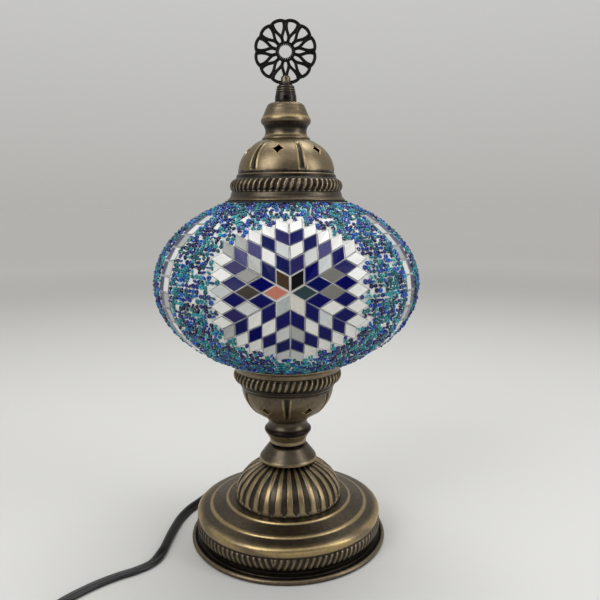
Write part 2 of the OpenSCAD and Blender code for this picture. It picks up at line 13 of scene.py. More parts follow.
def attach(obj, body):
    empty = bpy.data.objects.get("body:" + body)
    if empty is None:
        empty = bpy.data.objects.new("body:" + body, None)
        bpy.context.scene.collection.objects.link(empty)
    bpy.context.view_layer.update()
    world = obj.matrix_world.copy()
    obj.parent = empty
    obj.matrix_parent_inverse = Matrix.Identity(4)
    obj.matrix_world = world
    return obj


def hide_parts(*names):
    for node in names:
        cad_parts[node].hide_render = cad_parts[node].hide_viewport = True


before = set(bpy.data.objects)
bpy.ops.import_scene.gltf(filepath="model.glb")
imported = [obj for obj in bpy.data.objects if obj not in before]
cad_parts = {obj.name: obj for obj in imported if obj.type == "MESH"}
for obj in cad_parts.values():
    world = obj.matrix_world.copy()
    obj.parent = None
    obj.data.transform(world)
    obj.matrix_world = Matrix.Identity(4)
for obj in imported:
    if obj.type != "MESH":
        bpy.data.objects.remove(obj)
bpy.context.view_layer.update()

MM = 0.001
TURN = 2 * np.pi
FRONT = -90.0
rng = np.random.default_rng(7)

# ------------------------------------------------------------------ sizes

DRUM_R, DRUM_Z, SHELF_Z = 65.0, 5.9, 28.6
FLUTES, DOME_TOP, COLLAR_TOP = 28, 56.0, 66.6
NECK_Z, HOLDER_Z = 68.4, 88.0
BELL_R, BELL_H, BORE_R = 38.0, 39.6, 5.1
CAP_Z = 236.9
CROWN_Z, CROWN_H = 276.6, 23.3
STEM_Z = 300.0
ROSETTE_Z, ROSETTE_R, ROSETTE_T, PETALS = 332.4, 20.4, 2.4, 12
SHADE_R, SHADE_H, SHADE_Z = 88.8, 60.5, 182.0
STAR_RISE, STAR_TURN, STARS, RINGS = 4.9, 2.4, 3, 5
TILE, GROUT = 9.25, 0.3
TILE_IN, TILE_EDGE, TILE_FACE = 2.1, 0.76, 0.50  # depths under the beads' outermost face
DIVIDER_W, DIVIDER_SPAN, DIVIDER_COUNT = 7.6, 118.0, 12
SKIN_LOW, SKIN_TOP = 40.0, 41.5
CORD_W, CORD_T = 6.4, 3.2

# ------------------------------------------------------------------ camera and light

camera = bpy.data.objects.new("camera", bpy.data.cameras.new("camera"))
camera.data.sensor_width = 36.0
camera.data.lens = 37.5
camera.data.clip_start = 0.01
camera.matrix_world = (
    Matrix.Translation((0.0089, -0.425, 0.2347))
    @ Matrix.Rotation(np.radians(90 - 8.73), 4, "X")
    @ Matrix.Rotation(np.radians(-0.2), 4, "Z")
)
bpy.context.scene.collection.objects.link(camera)
bpy.context.scene.camera = camera
bpy.context.scene.view_settings.view_transform = "Standard"


def lamp(name, kind, place, aim, energy, **settings):
    """A light at a place, its -Z turned towards the aim."""
    light = bpy.data.lights.new(name, kind)
    light.energy = energy
    for key, value in settings.items():
        setattr(light, key, value)
    holder = bpy.data.objects.new(name, light)
    z = np.subtract(place, aim).astype(float)
    z /= np.linalg.norm(z)
    x = np.cross((0.0, 0.02, 1.0), z)
    x /= np.linalg.norm(x)
    turn = np.eye(4)
    turn[:3, :3] = np.column_stack([x, np.cross(z, x), z])
    turn[:3, 3] = place
    holder.matrix_world = Matrix(turn.tolist())
    bpy.context.scene.collection.objects.link(holder)


lamp("day", "SUN", (0.1, -0.3, 1.5), (0.0, 0.0, 0.1), 0.75, angle=np.radians(80))
lamp("soft_box", "AREA", (-0.75, -0.75, 0.85), (0.0, 0.0, 0.18), 7.0, shape="RECTANGLE", size=0.7, size_y=0.9)
lamp("side_box", "AREA", (0.95, -0.35, 0.55), (0.0, 0.0, 0.18), 4.0, shape="RECTANGLE", size=0.35, size_y=0.9)
lamp("top_box", "AREA", (0.1, 0.35, 1.1), (0.0, 0.0, 0.2), 5.0, shape="RECTANGLE", size=0.8, size_y=0.5)

# ------------------------------------------------------------------ lines and surfaces


def arc(centre, rx, rz, start, end, n=14):
    """Points centre + (rx cos a, rz sin a) for n + 1 angles in degrees."""
    a = np.radians(np.linspace(start, end, n + 1))
    return np.column_stack([centre[0] + rx * np.cos(a), centre[1] + rz * np.sin(a)])


def joined(*parts):
    """One list of points from several."""
    return np.vstack([np.atleast_2d(np.asarray(part, float)) for part in parts])


def lengths(p):
    """Distance along a line of points, from its start."""
    return np.r_[0.0, np.cumsum(np.linalg.norm(np.diff(p, axis=0), axis=1))]


def spaced(p, step):
    """The same line with points at even steps."""
    d = lengths(p)
    s = np.linspace(0, d[-1], max(2, int(round(d[-1] / step)) + 1))
    return np.column_stack([np.interp(s, d, p[:, k]) for k in range(p.shape[1])])


def softened(p, spread, step):
    """The line with its corners rounded: each point becomes the mean of its neighbours,
    weighted exp(-distance^2 / 2 spread^2); the two ends stay where they are."""
    fine = spread / 3
    q = spaced(p, fine)
    reach = min(9, len(q) - 2)
    weight = np.exp(-0.5 * (np.arange(-reach, reach + 1) * fine / spread) ** 2)
    long = np.vstack([2 * q[0] - q[reach:0:-1], q, 2 * q[-1] - q[-2:-reach - 2:-1]])
    mean = [np.convolve(long[:, k], weight / weight.sum(), "valid") for k in range(p.shape[1])]
    return spaced(np.column_stack(mean), step)


def outward(p):
    """Unit normals (dz, -dr) of an outline that is drawn upwards along its outside."""
    d = np.gradient(p, axis=0)
    return np.column_stack([d[:, 1], -d[:, 0]]) / np.maximum(np.linalg.norm(d, axis=1), 1e-9)[:, None]


def ease(x, low, high):
    """Smooth step from 0 at low to 1 at high: 3 t^2 - 2 t^3."""
    t = np.clip((x - low) / (high - low), 0, 1)
    return t * t * (3 - 2 * t)


def rounded_square(a, power):
    """Radius (|cos a|^n + |sin a|^n)^(-1/n): a square with soft corners for a power n above 2, and
    a star with four points for one below 1."""
    return (np.abs(np.cos(a)) ** power + np.abs(np.sin(a)) ** power) ** (-1 / power)


def turned(p, degrees):
    """Points turned about the lamp's axis."""
    c, s = np.cos(np.radians(degrees)), np.sin(np.radians(degrees))
    return p @ np.array([[c, s, 0], [-s, c, 0], [0, 0, 1.0]])


def quads(i, round_u, round_v):
    """Faces between neighbours of the point numbers i[u, v], which may close on themselves."""
    i = np.vstack([i, i[:1]]) if round_u else i
    i = np.hstack([i, i[:, :1]]) if round_v else i
    return np.stack([i[:-1, :-1], i[1:, :-1], i[1:, 1:], i[:-1, 1:]], axis=-1)


class Skin:
    """Collects points, faces of four corners, and two values for each point: wear, from 0 in a
    blackened hollow to 1 on a rubbed edge, also holding painted shade in hollows and creases and
    painted highlights on some edges, and paint, a colour."""

    def __init__(self):
        self.points, self.faces, self.wear, self.paint, self.count = [], [], [], [], 0

    def add(self, points, faces, wear=0.6, paint=(0.5, 0.5, 0.5)):
        points = np.asarray(points, float).reshape(-1, 3)
        self.points.append(points)
        self.faces.append(np.asarray(faces).reshape(-1, 4) + self.count)
        self.wear.append(np.broadcast_to(np.asarray(wear, float).ravel(), len(points)))
        self.paint.append(np.broadcast_to(np.asarray(paint, float).reshape(-1, 3), (len(points), 3)))
        self.count += len(points)

    def grid(self, p, wear=0.6, round_u=True, round_v=False, inside_out=False):
        """A surface p[u, v]: u runs anticlockwise and v upwards, as seen from outside."""
        faces = quads(np.arange(p.shape[0] * p.shape[1]).reshape(p.shape[:2]), round_u, round_v)
        faces = faces[..., ::-1] if inside_out else faces
        self.add(p, faces, np.broadcast_to(wear, p.shape[:2]))

    def copies(self, p, faces, wear, paint):
        """Many small pieces p[piece, corner] that share one list of faces."""
        first = np.arange(len(p))[:, None, None] * p.shape[1]
        everyone = np.broadcast_to(wear, p.shape[:2])
        self.add(p, faces[None] + first, everyone, np.repeat(paint, p.shape[1], axis=0))


def make(name, skin, finish, body, replaces=(), smooth=True, weld=0.01):
    """The skin as a mesh object that rides on a body; points closer than weld are merged."""
    mesh = bpy.data.meshes.new(name)
    points, faces = np.vstack(skin.points) * MM, np.vstack(skin.faces)
    mesh.vertices.add(len(points))
    mesh.vertices.foreach_set("co", points.astype(np.float32).ravel())
    mesh.loops.add(faces.size)
    mesh.loops.foreach_set("vertex_index", faces.astype(np.int32).ravel())
    mesh.polygons.add(len(faces))
    mesh.polygons.foreach_set("loop_start", np.arange(0, faces.size, 4, dtype=np.int32))
    mesh.update(calc_edges=True)
    wear = mesh.attributes.new("wear", "FLOAT", "POINT")
    wear.data.foreach_set("value", np.concatenate(skin.wear).astype(np.float32))
    paint = mesh.attributes.new("paint", "FLOAT_COLOR", "POINT")
    colours = np.column_stack([np.vstack(skin.paint), np.ones(len(points))])
    paint.data.foreach_set("color", colours.astype(np.float32).ravel())
    if weld:
        work = bmesh.new()
        work.from_mesh(mesh)
        bmesh.ops.remove_doubles(work, verts=work.verts, dist=weld * MM)
        work.to_mesh(mesh)
        work.free()
    mesh.polygons.foreach_set("use_smooth", np.full(len(mesh.polygons), smooth))
    mesh.update()
    mesh.materials.append(finish)
    piece = bpy.data.objects.new(name, mesh)
    bpy.context.scene.collection.objects.link(piece)
    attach(piece, body)
    if replaces:
        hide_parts(*replaces)
    return piece


def lathe(skin, p, n, relief=None, wear=0.6, outer=None, loop=False, high=0.0):
    """An outline (r, z) carried round the axis: the point at azimuth a is
    ((r + h nr) cos a, (r + h nr) sin a, z + h nz), with h = relief(a, r, z) along the normal.
    Only the first outer points carry the relief; a loop closes on itself."""
    az = TURN * np.arange(n)[:, None] / n
    r, z = p[None, :, 0], p[None, :, 1] + high
    outer = len(p) if outer is None else outer
    mask = (np.arange(len(p)) < outer)[None, :]
    h = np.broadcast_to(relief(az, r, z) if relief else 0.0, (n, len(p))) * mask
    normal = outward(p)
    rr, zz = np.maximum(r + h * normal[None, :, 0], 0), z + h * normal[None, :, 1]
    # The value carries wear together with painted shade and painted highlights.
    rub_and_painted_light = wear(az, r, z, h) if callable(wear) else wear
    rub_and_painted_light = np.where(mask, np.broadcast_to(rub_and_painted_light, (n, len(p))), 0.25)
    skin.grid(np.stack([rr * np.cos(az), rr * np.sin(az), zz], axis=-1), rub_and_painted_light, round_v=loop)


def walled(p, thickness, step=3.0):
    """A closed outline: p along the outside, then its inner side at that thickness."""
    q = spaced(p, step)
    return np.vstack([p, (q - thickness * outward(q))[::-1]]), len(p)


def swept(skin, path, section, across, wear=0.6, loop=False):
    """A closed section (x, y) carried along a path: path + x e + y (t cross e), where t is the
    path's direction and e the part of across that is square to it. Open ends are closed."""
    if loop:
        t = np.roll(path, -1, axis=0) - np.roll(path, 1, axis=0)
    else:
        t = np.gradient(path, axis=0)
    t /= np.linalg.norm(t, axis=1)[:, None]
    e = across - t * np.sum(across * t, axis=1)[:, None]
    e /= np.linalg.norm(e, axis=1)[:, None]
    x, y = section[:, 0, None, None], section[:, 1, None, None]
    p = path[None] + x * e[None] + y * np.cross(t, e)[None]
    if not loop:
        ends = [np.broadcast_to(path[k], (len(section), 1, 3)) for k in (0, -1)]
        p = np.concatenate([ends[0], p, ends[1]], axis=1)
    skin.grid(p, wear, round_v=loop)


# ------------------------------------------------------------------ finishes


def set_stops(ramp, stops):
    """Gives a colour ramp its stops, each a place and a colour."""
    while len(ramp.elements) < len(stops):
        ramp.elements.new(0.5)
    for stop, (place, colour) in zip(ramp.elements, stops):
        stop.position = place
        stop.color = (*colour, 1)


class Tap:
    """A node's output in a sum: each operator adds one Math node."""

    def __init__(self, finish, socket):
        self.finish, self.socket = finish, socket

    def _math(self, operation, one, two):
        return self.finish.node("ShaderNodeMath", {"operation": operation}, {0: one, 1: two})

    def __add__(self, other):
        return self._math("ADD", self, other)

    def __sub__(self, other):
        return self._math("SUBTRACT", self, other)

    def __rsub__(self, other):
        return self._math("SUBTRACT", other, self)

    def __mul__(self, other):
        return self._math("MULTIPLY", self, other)

    __radd__ = __add__

    def between(self, low, high):
        """0 below low and 1 above high, with a smooth step from one to the other."""
        inputs = {"Value": self, "From Min": low, "From Max": high}
        return self.finish.node("ShaderNodeMapRange", {"interpolation_type": "SMOOTHSTEP"}, inputs)


class Finish:
    """A material whose shader takes constants at once and maps later."""

    def __init__(self, name, constants):
        self.material = bpy.data.materials.new(name)
        self.material.use_nodes = True
        self.tree = self.material.node_tree
        self.shader = self.tree.nodes["Principled BSDF"]
        for key, value in constants.items():
            self.shader.inputs[key].default_value = value

    def node(self, kind, settings=None, inputs=None, output=0):
        """A node of that type: its settings, then the values or links of its sockets."""
        made = self.tree.nodes.new(kind)
        for key, value in (settings or {}).items():
            if key == "stops":
                set_stops(made.color_ramp, value)
            else:
                setattr(made, key, value)
        for key, value in (inputs or {}).items():
            if isinstance(value, Tap):
                self.tree.links.new(value.socket, made.inputs[key])
            else:
                made.inputs[key].default_value = value
        return Tap(self, made.outputs[output])

    def place(self, stretch=(1, 1, 1)):
        """The point on the piece, with each axis stretched."""
        point = self.node("ShaderNodeTexCoord", output="Object")
        return self.node("ShaderNodeMapping", {}, {"Vector": point, "Scale": stretch})

    def noise(self, size, detail=3.0, stretch=(1, 1, 1)):
        """Cloudy pattern from 0 to 1 whose patches are about size millimetres across."""
        inputs = {"Vector": self.place(stretch), "Scale": 1000.0 / size, "Detail": detail}
        return self.node("ShaderNodeTexNoise", {}, inputs)

    def cells(self, size):
        """Distance to the nearest of points about size millimetres apart."""
        return self.node("ShaderNodeTexVoronoi", {}, {"Vector": self.place(), "Scale": 1000.0 / size})

    def value(self, name):
        """A value that each point of the piece carries."""
        return self.node("ShaderNodeAttribute", {"attribute_name": name}, output="Fac")

    def ramp(self, amount, stops):
        """A colour looked up between stops."""
        return self.node("ShaderNodeValToRGB", {"stops": stops}, {"Fac": amount})

    def blend(self, one, two, amount):
        """Colour one where amount is 0, and two where it is 1."""
        inputs = {0: amount, 6: one, 7: two}
        return self.node("ShaderNodeMix", {"data_type": "RGBA"}, inputs, output=2)

    def bump(self, height, depth):
        """Normal of a surface raised by height times depth millimetres."""
        inputs = {"Height": height, "Distance": depth * MM, "Strength": 1.0}
        return self.node("ShaderNodeBump", {}, inputs)

    def feed(self, **maps):
        """Links maps to the shader, underscores standing for spaces."""
        for key, tap in maps.items():
            self.tree.links.new(tap.socket, self.shader.inputs[key.replace("_", " ")])
        return self.material


# The darkest brass: patina in the hollows together with painted shade.
SOOT_AND_SHADE = (0.016, 0.013, 0.011)
UMBER = (0.098, 0.080, 0.058)
SATIN = (0.262, 0.203, 0.122)
GOLD = (0.53, 0.392, 0.182)


def patinated(name, stops, roughness):
    """Rubbed metal: wear picks the colour between stops, from patina darkened by painted shade in
    the hollows to rubbed edges with painted highlights, broken up by cloudy noise, with fine
    turned lines that run round the piece."""
    finish = Finish(name, {"Metallic": 0.92})
    cloud = finish.noise(3.0, 5.0)
    speck = finish.noise(0.7, 2.0)
    lines = finish.noise(6.0, 4.0, (1, 1, 28))
    rub_and_painted_light = finish.value("wear") + (cloud - 0.5) * 0.30 + (speck - 0.5) * 0.16 + (lines - 0.5) * 0.16
    rough = roughness + (speck - 0.5) * 0.14 + (lines - 0.5) * 0.12
    height = lines * 0.7 + speck * 0.3
    return finish.feed(Base_Color=finish.ramp(rub_and_painted_light, stops), Roughness=rough,
                       Normal=finish.bump(height, 0.05))


def glossy(name, roughness, mottle, edge, **more):
    """Glass with its colour in paint, faintly clouded, whose ground edges go towards edge, a colour that is
    partly the frosted ground edge and partly a painted reflection along the bevel.
    """
    finish = Finish(name, {"IOR": 1.52, **more})
    paint = finish.node("ShaderNodeAttribute", {"attribute_name": "paint"}, output="Color")
    cloud = finish.noise(2.2, 3.0)
    fleck = finish.noise(0.5, 2.0)
    dark = finish.node("ShaderNodeVectorMath", {"operation": "SCALE"},
                       {0: paint, "Scale": 1 - (cloud - 0.35) * mottle})
    # Sides and bevels take the edge colour: ground glass with a painted reflection.
    rim = finish.value("wear").between(0.05, 0.5)
    colour = finish.blend(dark, (*edge, 1), rim * 0.85)
    return finish.feed(Base_Color=colour, Roughness=roughness + fleck * 0.08 + rim * 0.15,
                       Normal=finish.bump(cloud, 0.06))


def plain(name, colour, roughness, grain, depth, spread=0.25, **constants):
    """An even material: its colour goes lighter and darker by spread over patches of grain
    millimetres, and its surface is that rough by depth millimetres."""
    words = {key.replace("_", " "): value for key, value in constants.items()}
    finish = Finish(name, words)
    cloud = finish.noise(grain, 4.0)
    large = finish.noise(grain * 8, 2.0)
    low = tuple(c * (1 - spread) for c in colour)
    high = tuple(min(1.0, c * (1 + spread)) for c in colour)
    tone = finish.ramp(cloud * 0.6 + large * 0.4, [(0.3, low), (0.7, high)])
    return finish.feed(Base_Color=tone, Roughness=roughness + (cloud - 0.5) * 0.15,
                       Normal=finish.bump(cloud, depth))


brass_stops = [(0.0, SOOT_AND_SHADE), (0.42, UMBER), (0.72, SATIN), (1.0, GOLD)]
bronze_stops = [(0.0, (0.010, 0.010, 0.011)), (0.55, (0.045, 0.040, 0.036)), (1.0, (0.30, 0.25, 0.17))]
antique_brass = patinated("antique_brass", brass_stops, 0.36)
dark_bronze = patinated("dark_bronze", bronze_stops, 0.34)
bright_brass = plain("bright_brass", (0.66, 0.50, 0.22), 0.25, 2.0, 0.02, 0.12, Metallic=1.0)
zinc_steel = plain("zinc_steel", (0.56, 0.57, 0.58), 0.30, 1.5, 0.02, 0.12, Metallic=1.0)
spring_steel = plain("spring_steel", (0.42, 0.44, 0.47), 0.26, 1.2, 0.02, 0.15, Metallic=1.0)
iron = plain("iron", (0.10, 0.095, 0.09), 0.7, 1.5, 0.25, 0.3, Metallic=0.4)
felt = plain("felt", (0.020, 0.050, 0.030), 0.95, 0.5, 0.35, 0.4)
black_rubber = plain("black_rubber", (0.022, 0.022, 0.024), 0.62, 0.6, 0.04)
black_plastic = plain("black_plastic", (0.020, 0.020, 0.022), 0.38, 0.5, 0.03)
cord_black = plain("cord_black", (0.0065, 0.0068, 0.0075), 0.36, 0.8, 0.05)
white_wire = plain("white_wire", (0.72, 0.71, 0.68), 0.45, 1.0, 0.03, 0.08)
tie_wire = plain("tie_wire", (0.035, 0.035, 0.038), 0.5, 0.8, 0.05)
phenolic = plain("phenolic", (0.72, 0.69, 0.60), 0.4, 2.5, 0.03, 0.08)
black_glass = plain("black_glass", (0.012, 0.012, 0.016), 0.12, 1.0, 0.02)
filament = plain("filament", (0.85, 0.55, 0.16), 0.4, 0.5, 0.03, 0.2)
lamp_glass = plain("lamp_glass", (0.98, 0.90, 0.76), 0.06, 3.0, 0.01, 0.02, Transmission_Weight=1.0)
stem_glass = plain("stem_glass", (0.95, 0.97, 0.97), 0.12, 2.0, 0.02, 0.02, Transmission_Weight=0.9)
globe_glass = plain("globe_glass", (0.86, 0.92, 0.94), 0.08, 5.0, 0.05, 0.04, Transmission_Weight=0.85)
# The colour given last to each glass is for its tiles' bevels: partly frosted edge, partly a painted
# reflection.
cobalt_glass = glossy("cobalt_glass", 0.14, 0.5, (0.11, 0.115, 0.20), **{"Specular IOR Level": 0.13})
clear_glass = glossy("clear_glass", 0.12, 0.12, (0.20, 0.21, 0.21))
mirror_glass = glossy("mirror_glass", 0.08, 0.3, (0.62, 0.62, 0.58))
violet_glass = glossy("violet_glass", 0.12, 0.4, (0.38, 0.39, 0.44), **{"Specular IOR Level": 0.3})
bead_glass = glossy("bead_glass", 0.06, 0.25, (0.5, 0.5, 0.5))


def plaster_finish():
    """White plaster: chalky, with pores that are darker at their middles, and cloudy patches."""
    finish = Finish("plaster", {})
    pores = finish.cells(0.9)
    cloud = finish.noise(4.0, 4.0)
    tone = finish.ramp(cloud * 0.7 + pores * 0.5, [(0.25, (0.60, 0.60, 0.57)), (0.6, (0.84, 0.84, 0.81))])
    return finish.feed(Base_Color=tone, Roughness=0.75 + (cloud - 0.5) * 0.2,
                       Normal=finish.bump(pores + cloud, 0.15))


plaster = plaster_finish()

# Pieces that stay as packed
PACKED = (
    (felt, "felt_pad"), (iron, "base_weight"), (phenolic, "socket_housing"), (white_wire, "inner_lead"),
    (zinc_steel, "lamp_pipe pipe_nuts pipe_washers switch_screws cap_rod cap_nut"),
    (dark_bronze, "neck_spacer finial_pin"), (black_rubber, "seat_gasket strain_relief cap_gasket"),
    (bright_brass, "socket_sleeve socket_contact plug_blades bulb_cap"), (tie_wire, "coil_tie"),
    (black_plastic, "switch_base switch_cover switch_rocker plug_body"), (black_glass, "bulb_insulator"),
    (lamp_glass, "bulb_glass"), (stem_glass, "bulb_stem"), (filament, "bulb_filaments"),
    (globe_glass, "glass_globe"), (spring_steel, "cap_springs"))
for finish, names in PACKED:
    for name in names.split():
        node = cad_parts[name]
        node.data.materials.clear()
        node.data.materials.append(finish)

# ------------------------------------------------------------------ cord

RUN = np.array([
    (-21.7, 81.1, 11.5), (-22.8, 85, 11.5), (-25, 89.8, 9.8), (-30.5, 93.3, 6), (-39.5, 90.3, 3),
    (-48, 82, 1.6), (-55, 72, 1.6), (-60, 62, 1.6), (-64, 52, 1.6), (-68, 43, 1.6), (-72, 35, 1.6),
    (-77, 25, 1.6), (-81, 11, 1.6), (-83, -5, 1.6), (-84, -20, 1.6), (-85, -34, 1.6), (-89, -45, 1.6),
    (-97, -53, 1.6), (-108, -60, 1.6), (-119, -69, 1.6), (-130, -81, 1.6), (-136, -91, 2),
    (-138, -101, 4), (-138, -112, 8), (-138, -142, 8), (-138, -172, 8),
    (-138, -180, 4.4), (-134, -192, 2), (-125, -200, 1.6), (-112, -204, 1.6), (-94, -204, 2.2),
    (-84, -204, 2.2)])
TAIL = np.array([(-74, -204, 9.0), (-66, -204, 8.9), (-56, -204, 8), (-46, -204, 6.7), (-40, -204, 6.7)])
COIL_CENTRE = np.array([-80.0, -167.0])
COIL_OUT, COIL_IN = 37.0, 30.4
COIL_SLOTS = [(COIL_OUT, 2.2), (COIL_IN, 2.2), (COIL_IN, 5.5), (COIL_OUT, 5.5), (COIL_IN, 8.9),
              (COIL_OUT, 8.9)]


def through(p, n):
    """Smooth line through points: Catmull-Rom, n steps to each span."""
    q = np.vstack([2 * p[0] - p[1], p, 2 * p[-1] - p[-2]])
    s = (np.arange(n) / n)[None, :, None]
    a, b, c, d = (q[k:len(q) - 3 + k, None] for k in range(4))
    line = 0.5 * (2 * b + s * (c - a) + s * s * (2 * a - 5 * b + 4 * c - d)
                  + s ** 3 * (3 * b - a - 3 * c + d))
    return np.vstack([line.reshape(-1, p.shape[1]), p[-1:]])


def coil():
    """Six turns: the angle grows evenly, and near the end of a turn the height and then the
    radius change to those of the next one."""
    steps = 60
    rings = []
    for k, (r, z) in enumerate(COIL_SLOTS):
        r2, z2 = COIL_SLOTS[min(k + 1, len(COIL_SLOTS) - 1)]
        s = np.arange(steps) / steps
        a = TURN * s - TURN / 4
        rr = r + (r2 - r) * ease(s, 0.84, 1.0)
        zz = z + (z2 - z) * ease(s, 0.78, 0.92)
        rings.append(np.column_stack([COIL_CENTRE[0] + rr * np.cos(a), COIL_CENTRE[1] + rr * np.sin(a), zz]))
    return np.vstack(rings)


route = np.vstack([through(RUN, 6), coil(), through(TAIL, 6)])
# Rolled on its edge beside the base: the roll eases in and out along y, on the first stretch only
on_edge = ease(-route[:, 1], -62, -45) * (1 - ease(-route[:, 1], 30, 46)) * (route[:, 0] > -100)
roll = np.radians(58) * on_edge
route[:, 2] += 0.5 * CORD_T * np.sin(roll)
lobe = arc((CORD_T / 2, 0), CORD_T / 2, CORD_T / 2, -120, 120, 8)
cord_section = joined(lobe, (0, 0.9), -lobe, (0, -0.9))
along = np.gradient(route, axis=0)
along /= np.linalg.norm(along, axis=1)[:, None]
level = np.cross(along, (0, 0, 1.0))
level /= np.linalg.norm(level, axis=1)[:, None]
across = level * np.cos(roll)[:, None] + np.cross(level, along) * np.sin(roll)[:, None]
skin = Skin()
swept(skin, route, cord_section, across)
flat_cord = make("flat_cord", skin, cord_black, "base",
                 ("cord_run", "cord_link", "cord_tail", "cord_coil"))

# ------------------------------------------------------------------ base


def smooth_crest(phase):
    """Wave from 0 to 1, one crest to each turn of the phase."""
    return 0.5 + 0.5 * np.cos(phase)


def base_pan():
    """Plate with a rolled rim, and the ring that stands up inside the drum."""
    p = joined((13, 1.1), (66, 1.1), arc((67.3, 1.7), 1.7, 1.7, -90, 165, 20), (64, 2.1), (62.9, 2.1),
               (62.9, 5.8), (61.9, 5.8), (61.9, 8.4), (60.9, 8.4), (60.9, 2.1), (13, 2.1))
    skin = Skin()
    lathe(skin, spaced(p, 0.6), 192, loop=True,
          wear=lambda a, r, z, h: 0.12 + 0.46 * ease(r, 66.0, 67.6) * ease(z, 0.6, 2.2))
    make("foot_pan", skin, antique_brass, "base", ("base_pan",))


DRUM_STRANDS, DRUM_LEAN = 100, 2.4
SEAM = np.radians(FRONT - 7)


def drum_rope(az, r, z):
    """Rope moulding on the drum: strands lean to the right on one side of the seam and to the
    left on the other, and meet there in a V. Gives the band's edge and the strands' crests."""
    t = (z - 11.5) / 4.2
    edge = np.sqrt(np.clip(1 - t * t, 0, 1)) * (r > DRUM_R - 2.2)
    off = (az - SEAM + np.pi) % TURN - np.pi
    far = ease(np.abs(off), np.pi - 0.10, np.pi)
    right = ease(off, -0.012, 0.012) * (1 - far)
    left = 1 - right
    one, two = (smooth_crest(az * DRUM_STRANDS - lean * t) for lean in (DRUM_LEAN, -DRUM_LEAN))
    return edge, np.maximum(one * right, two * left)


def base_drum():
    """Stepped drum: lip, rope moulding, rounded shoulder and treads."""
    p = joined((DRUM_R - 1.5, DRUM_Z), (DRUM_R - 1.3, 7.0), arc((DRUM_R - 2, 11.4), 2, 4.4, -60, 60),
               (DRUM_R - 0.6, 16.6), arc((DRUM_R - 3, 19.6), 3, 3, -15, 75), (56.4, 23.9),
               arc((54.6, 24.2), 0.9, 0.9, 0, 90, 6), (45, 27.4), arc((43.2, 28), 0.8, 0.8, 0, 90, 6),
               (42.4, SHELF_Z), (34, SHELF_Z))
    p, outer = walled(softened(p, 0.16, 0.44), 1.0)

    def relief(az, r, z):
        edge, crest = drum_rope(az, r, z)
        return edge * (0.75 * crest ** 0.7 - 0.45)

    # Painted light: the lip under the rope and the gaps between strands are dark, patina with painted shade,
    # and the rounded shoulder and the treads' edges are bright, rubbed brass with painted highlights.
    def wear(az, r, z, h):
        edge, crest = drum_rope(az, r, z)
        rope = edge > 0.25
        lip = 0.10 + 0.5 * ease(z, 15.8, 16.6)
        shoulder = ease(z, 16.2, 17.2) * (1 - ease(z, 22.2, 23.2))
        tread_b = ease(r, 51.5, 54.4) ** 2 * (1 - ease(r, 55.2, 58.4)) ** 2 * (z > 23.9)
        tread_c = ease(r, 41.0, 43.2) ** 2 * (1 - ease(r, 43.9, 46.6)) ** 2 * (z > 27)
        patch = 0.25 * ease(np.sin(3 * az + 0.6) * np.cos(az * 7 + z * 0.4), 0.1, 0.9)
        flat = 0.44 + 0.05 * np.sin(az * 5)
        base = np.where(z < 16.6, lip, flat)
        base = base + (0.92 - patch - base) * shoulder
        base = np.maximum(base, 0.90 * np.maximum(tread_b, tread_c))
        return np.where(rope, 0.14 + 0.54 * ease(crest, 0.36, 0.86) * ease(edge, 0.25, 0.7), base)

    skin = Skin()
    lathe(skin, p, 7 * DRUM_STRANDS, relief, wear, outer, loop=True)
    make("stepped_drum", skin, antique_brass, "base", ("base_drum",))


def base_dome():
    """Fluted dome: flat-crested ribs and rounded grooves that end just above the shelf and fade
    out below the collar."""
    p = joined((37.8, SHELF_Z + 0.1), (37.8, 29.6), (37.4, 31.4), arc((6, 31.4), 31.2, 24.2, 8, 68, 30),
               (13, DOME_TOP - 0.6), (11, DOME_TOP), (BORE_R, DOME_TOP))
    p, outer = walled(softened(p, 0.25, 0.55), 1.0)
    first = np.radians(FRONT + 2.8)

    def groove(az, r, z):
        side = np.abs(((az - first) * FLUTES / TURN + 0.5) % 1 - 0.5)
        low = ease(z + 5.5 * np.clip(side - 0.26, 0, 1) ** 0.5, 31.2, 33.4)
        return ease(side, 0.20, 0.31) * low * ease(r, 12.5, 16.5)

    def relief(az, r, z):
        return -1.25 * groove(az, r, z)

    # Painted light: the grooves are near black and the foot darkens at the shelf, patina with painted shade;
    # glint is a painted highlight on the grooves' sides.
    def wear(az, r, z, h):
        g = groove(az, r, z)
        side = np.abs(((az - first) * FLUTES / TURN + 0.5) % 1 - 0.5)
        crest = 0.74 + 0.10 * np.cos(TURN * side) - 0.34 * (1 - ease(z, 29.2, 31.5))
        glint = 0.35 * ease(z, 46.5, 48) * (1 - ease(z, 49, 50.5)) * ease(side, 0.42, 0.48)
        return crest * (1 - g) ** 1.4 + (0.02 + glint) * g

    skin = Skin()
    lathe(skin, p, FLUTES * 16, relief, wear, outer, loop=True)
    make("fluted_dome", skin, antique_brass, "base", ("base_dome",))


def base_collar():
    """Stepped cone between the dome and the neck."""
    p = joined((20, DOME_TOP + 0.1), (20.2, 57.4), (19.6, 58.6), (16.6, 62.6), (13.8, 66.2),
               (12.8, COLLAR_TOP), (BORE_R, COLLAR_TOP))
    p, outer = walled(softened(p, 0.3, 0.4), 1.0)
    skin = Skin()
    lathe(skin, p, 160, None, lambda a, r, z, h: 0.42 + 0.34 * ease(r, 19.4, 20.0), outer, loop=True)
    make("collar", skin, antique_brass, "base", ("base_collar",))


def vase(h):
    """Waisted shape of the neck and crown: a foot, a waist, a bulge and the start of a taper."""
    return joined((16, 0), (16, 0.03 * h), (14.2, 0.1 * h), arc((15, 0.23 * h), 1.4, 0.13 * h, 210, 150),
                  (14.6, 0.38 * h), arc((14.9, 0.52 * h), 1.6, 0.1 * h, -45, 60), (14, 0.76 * h))


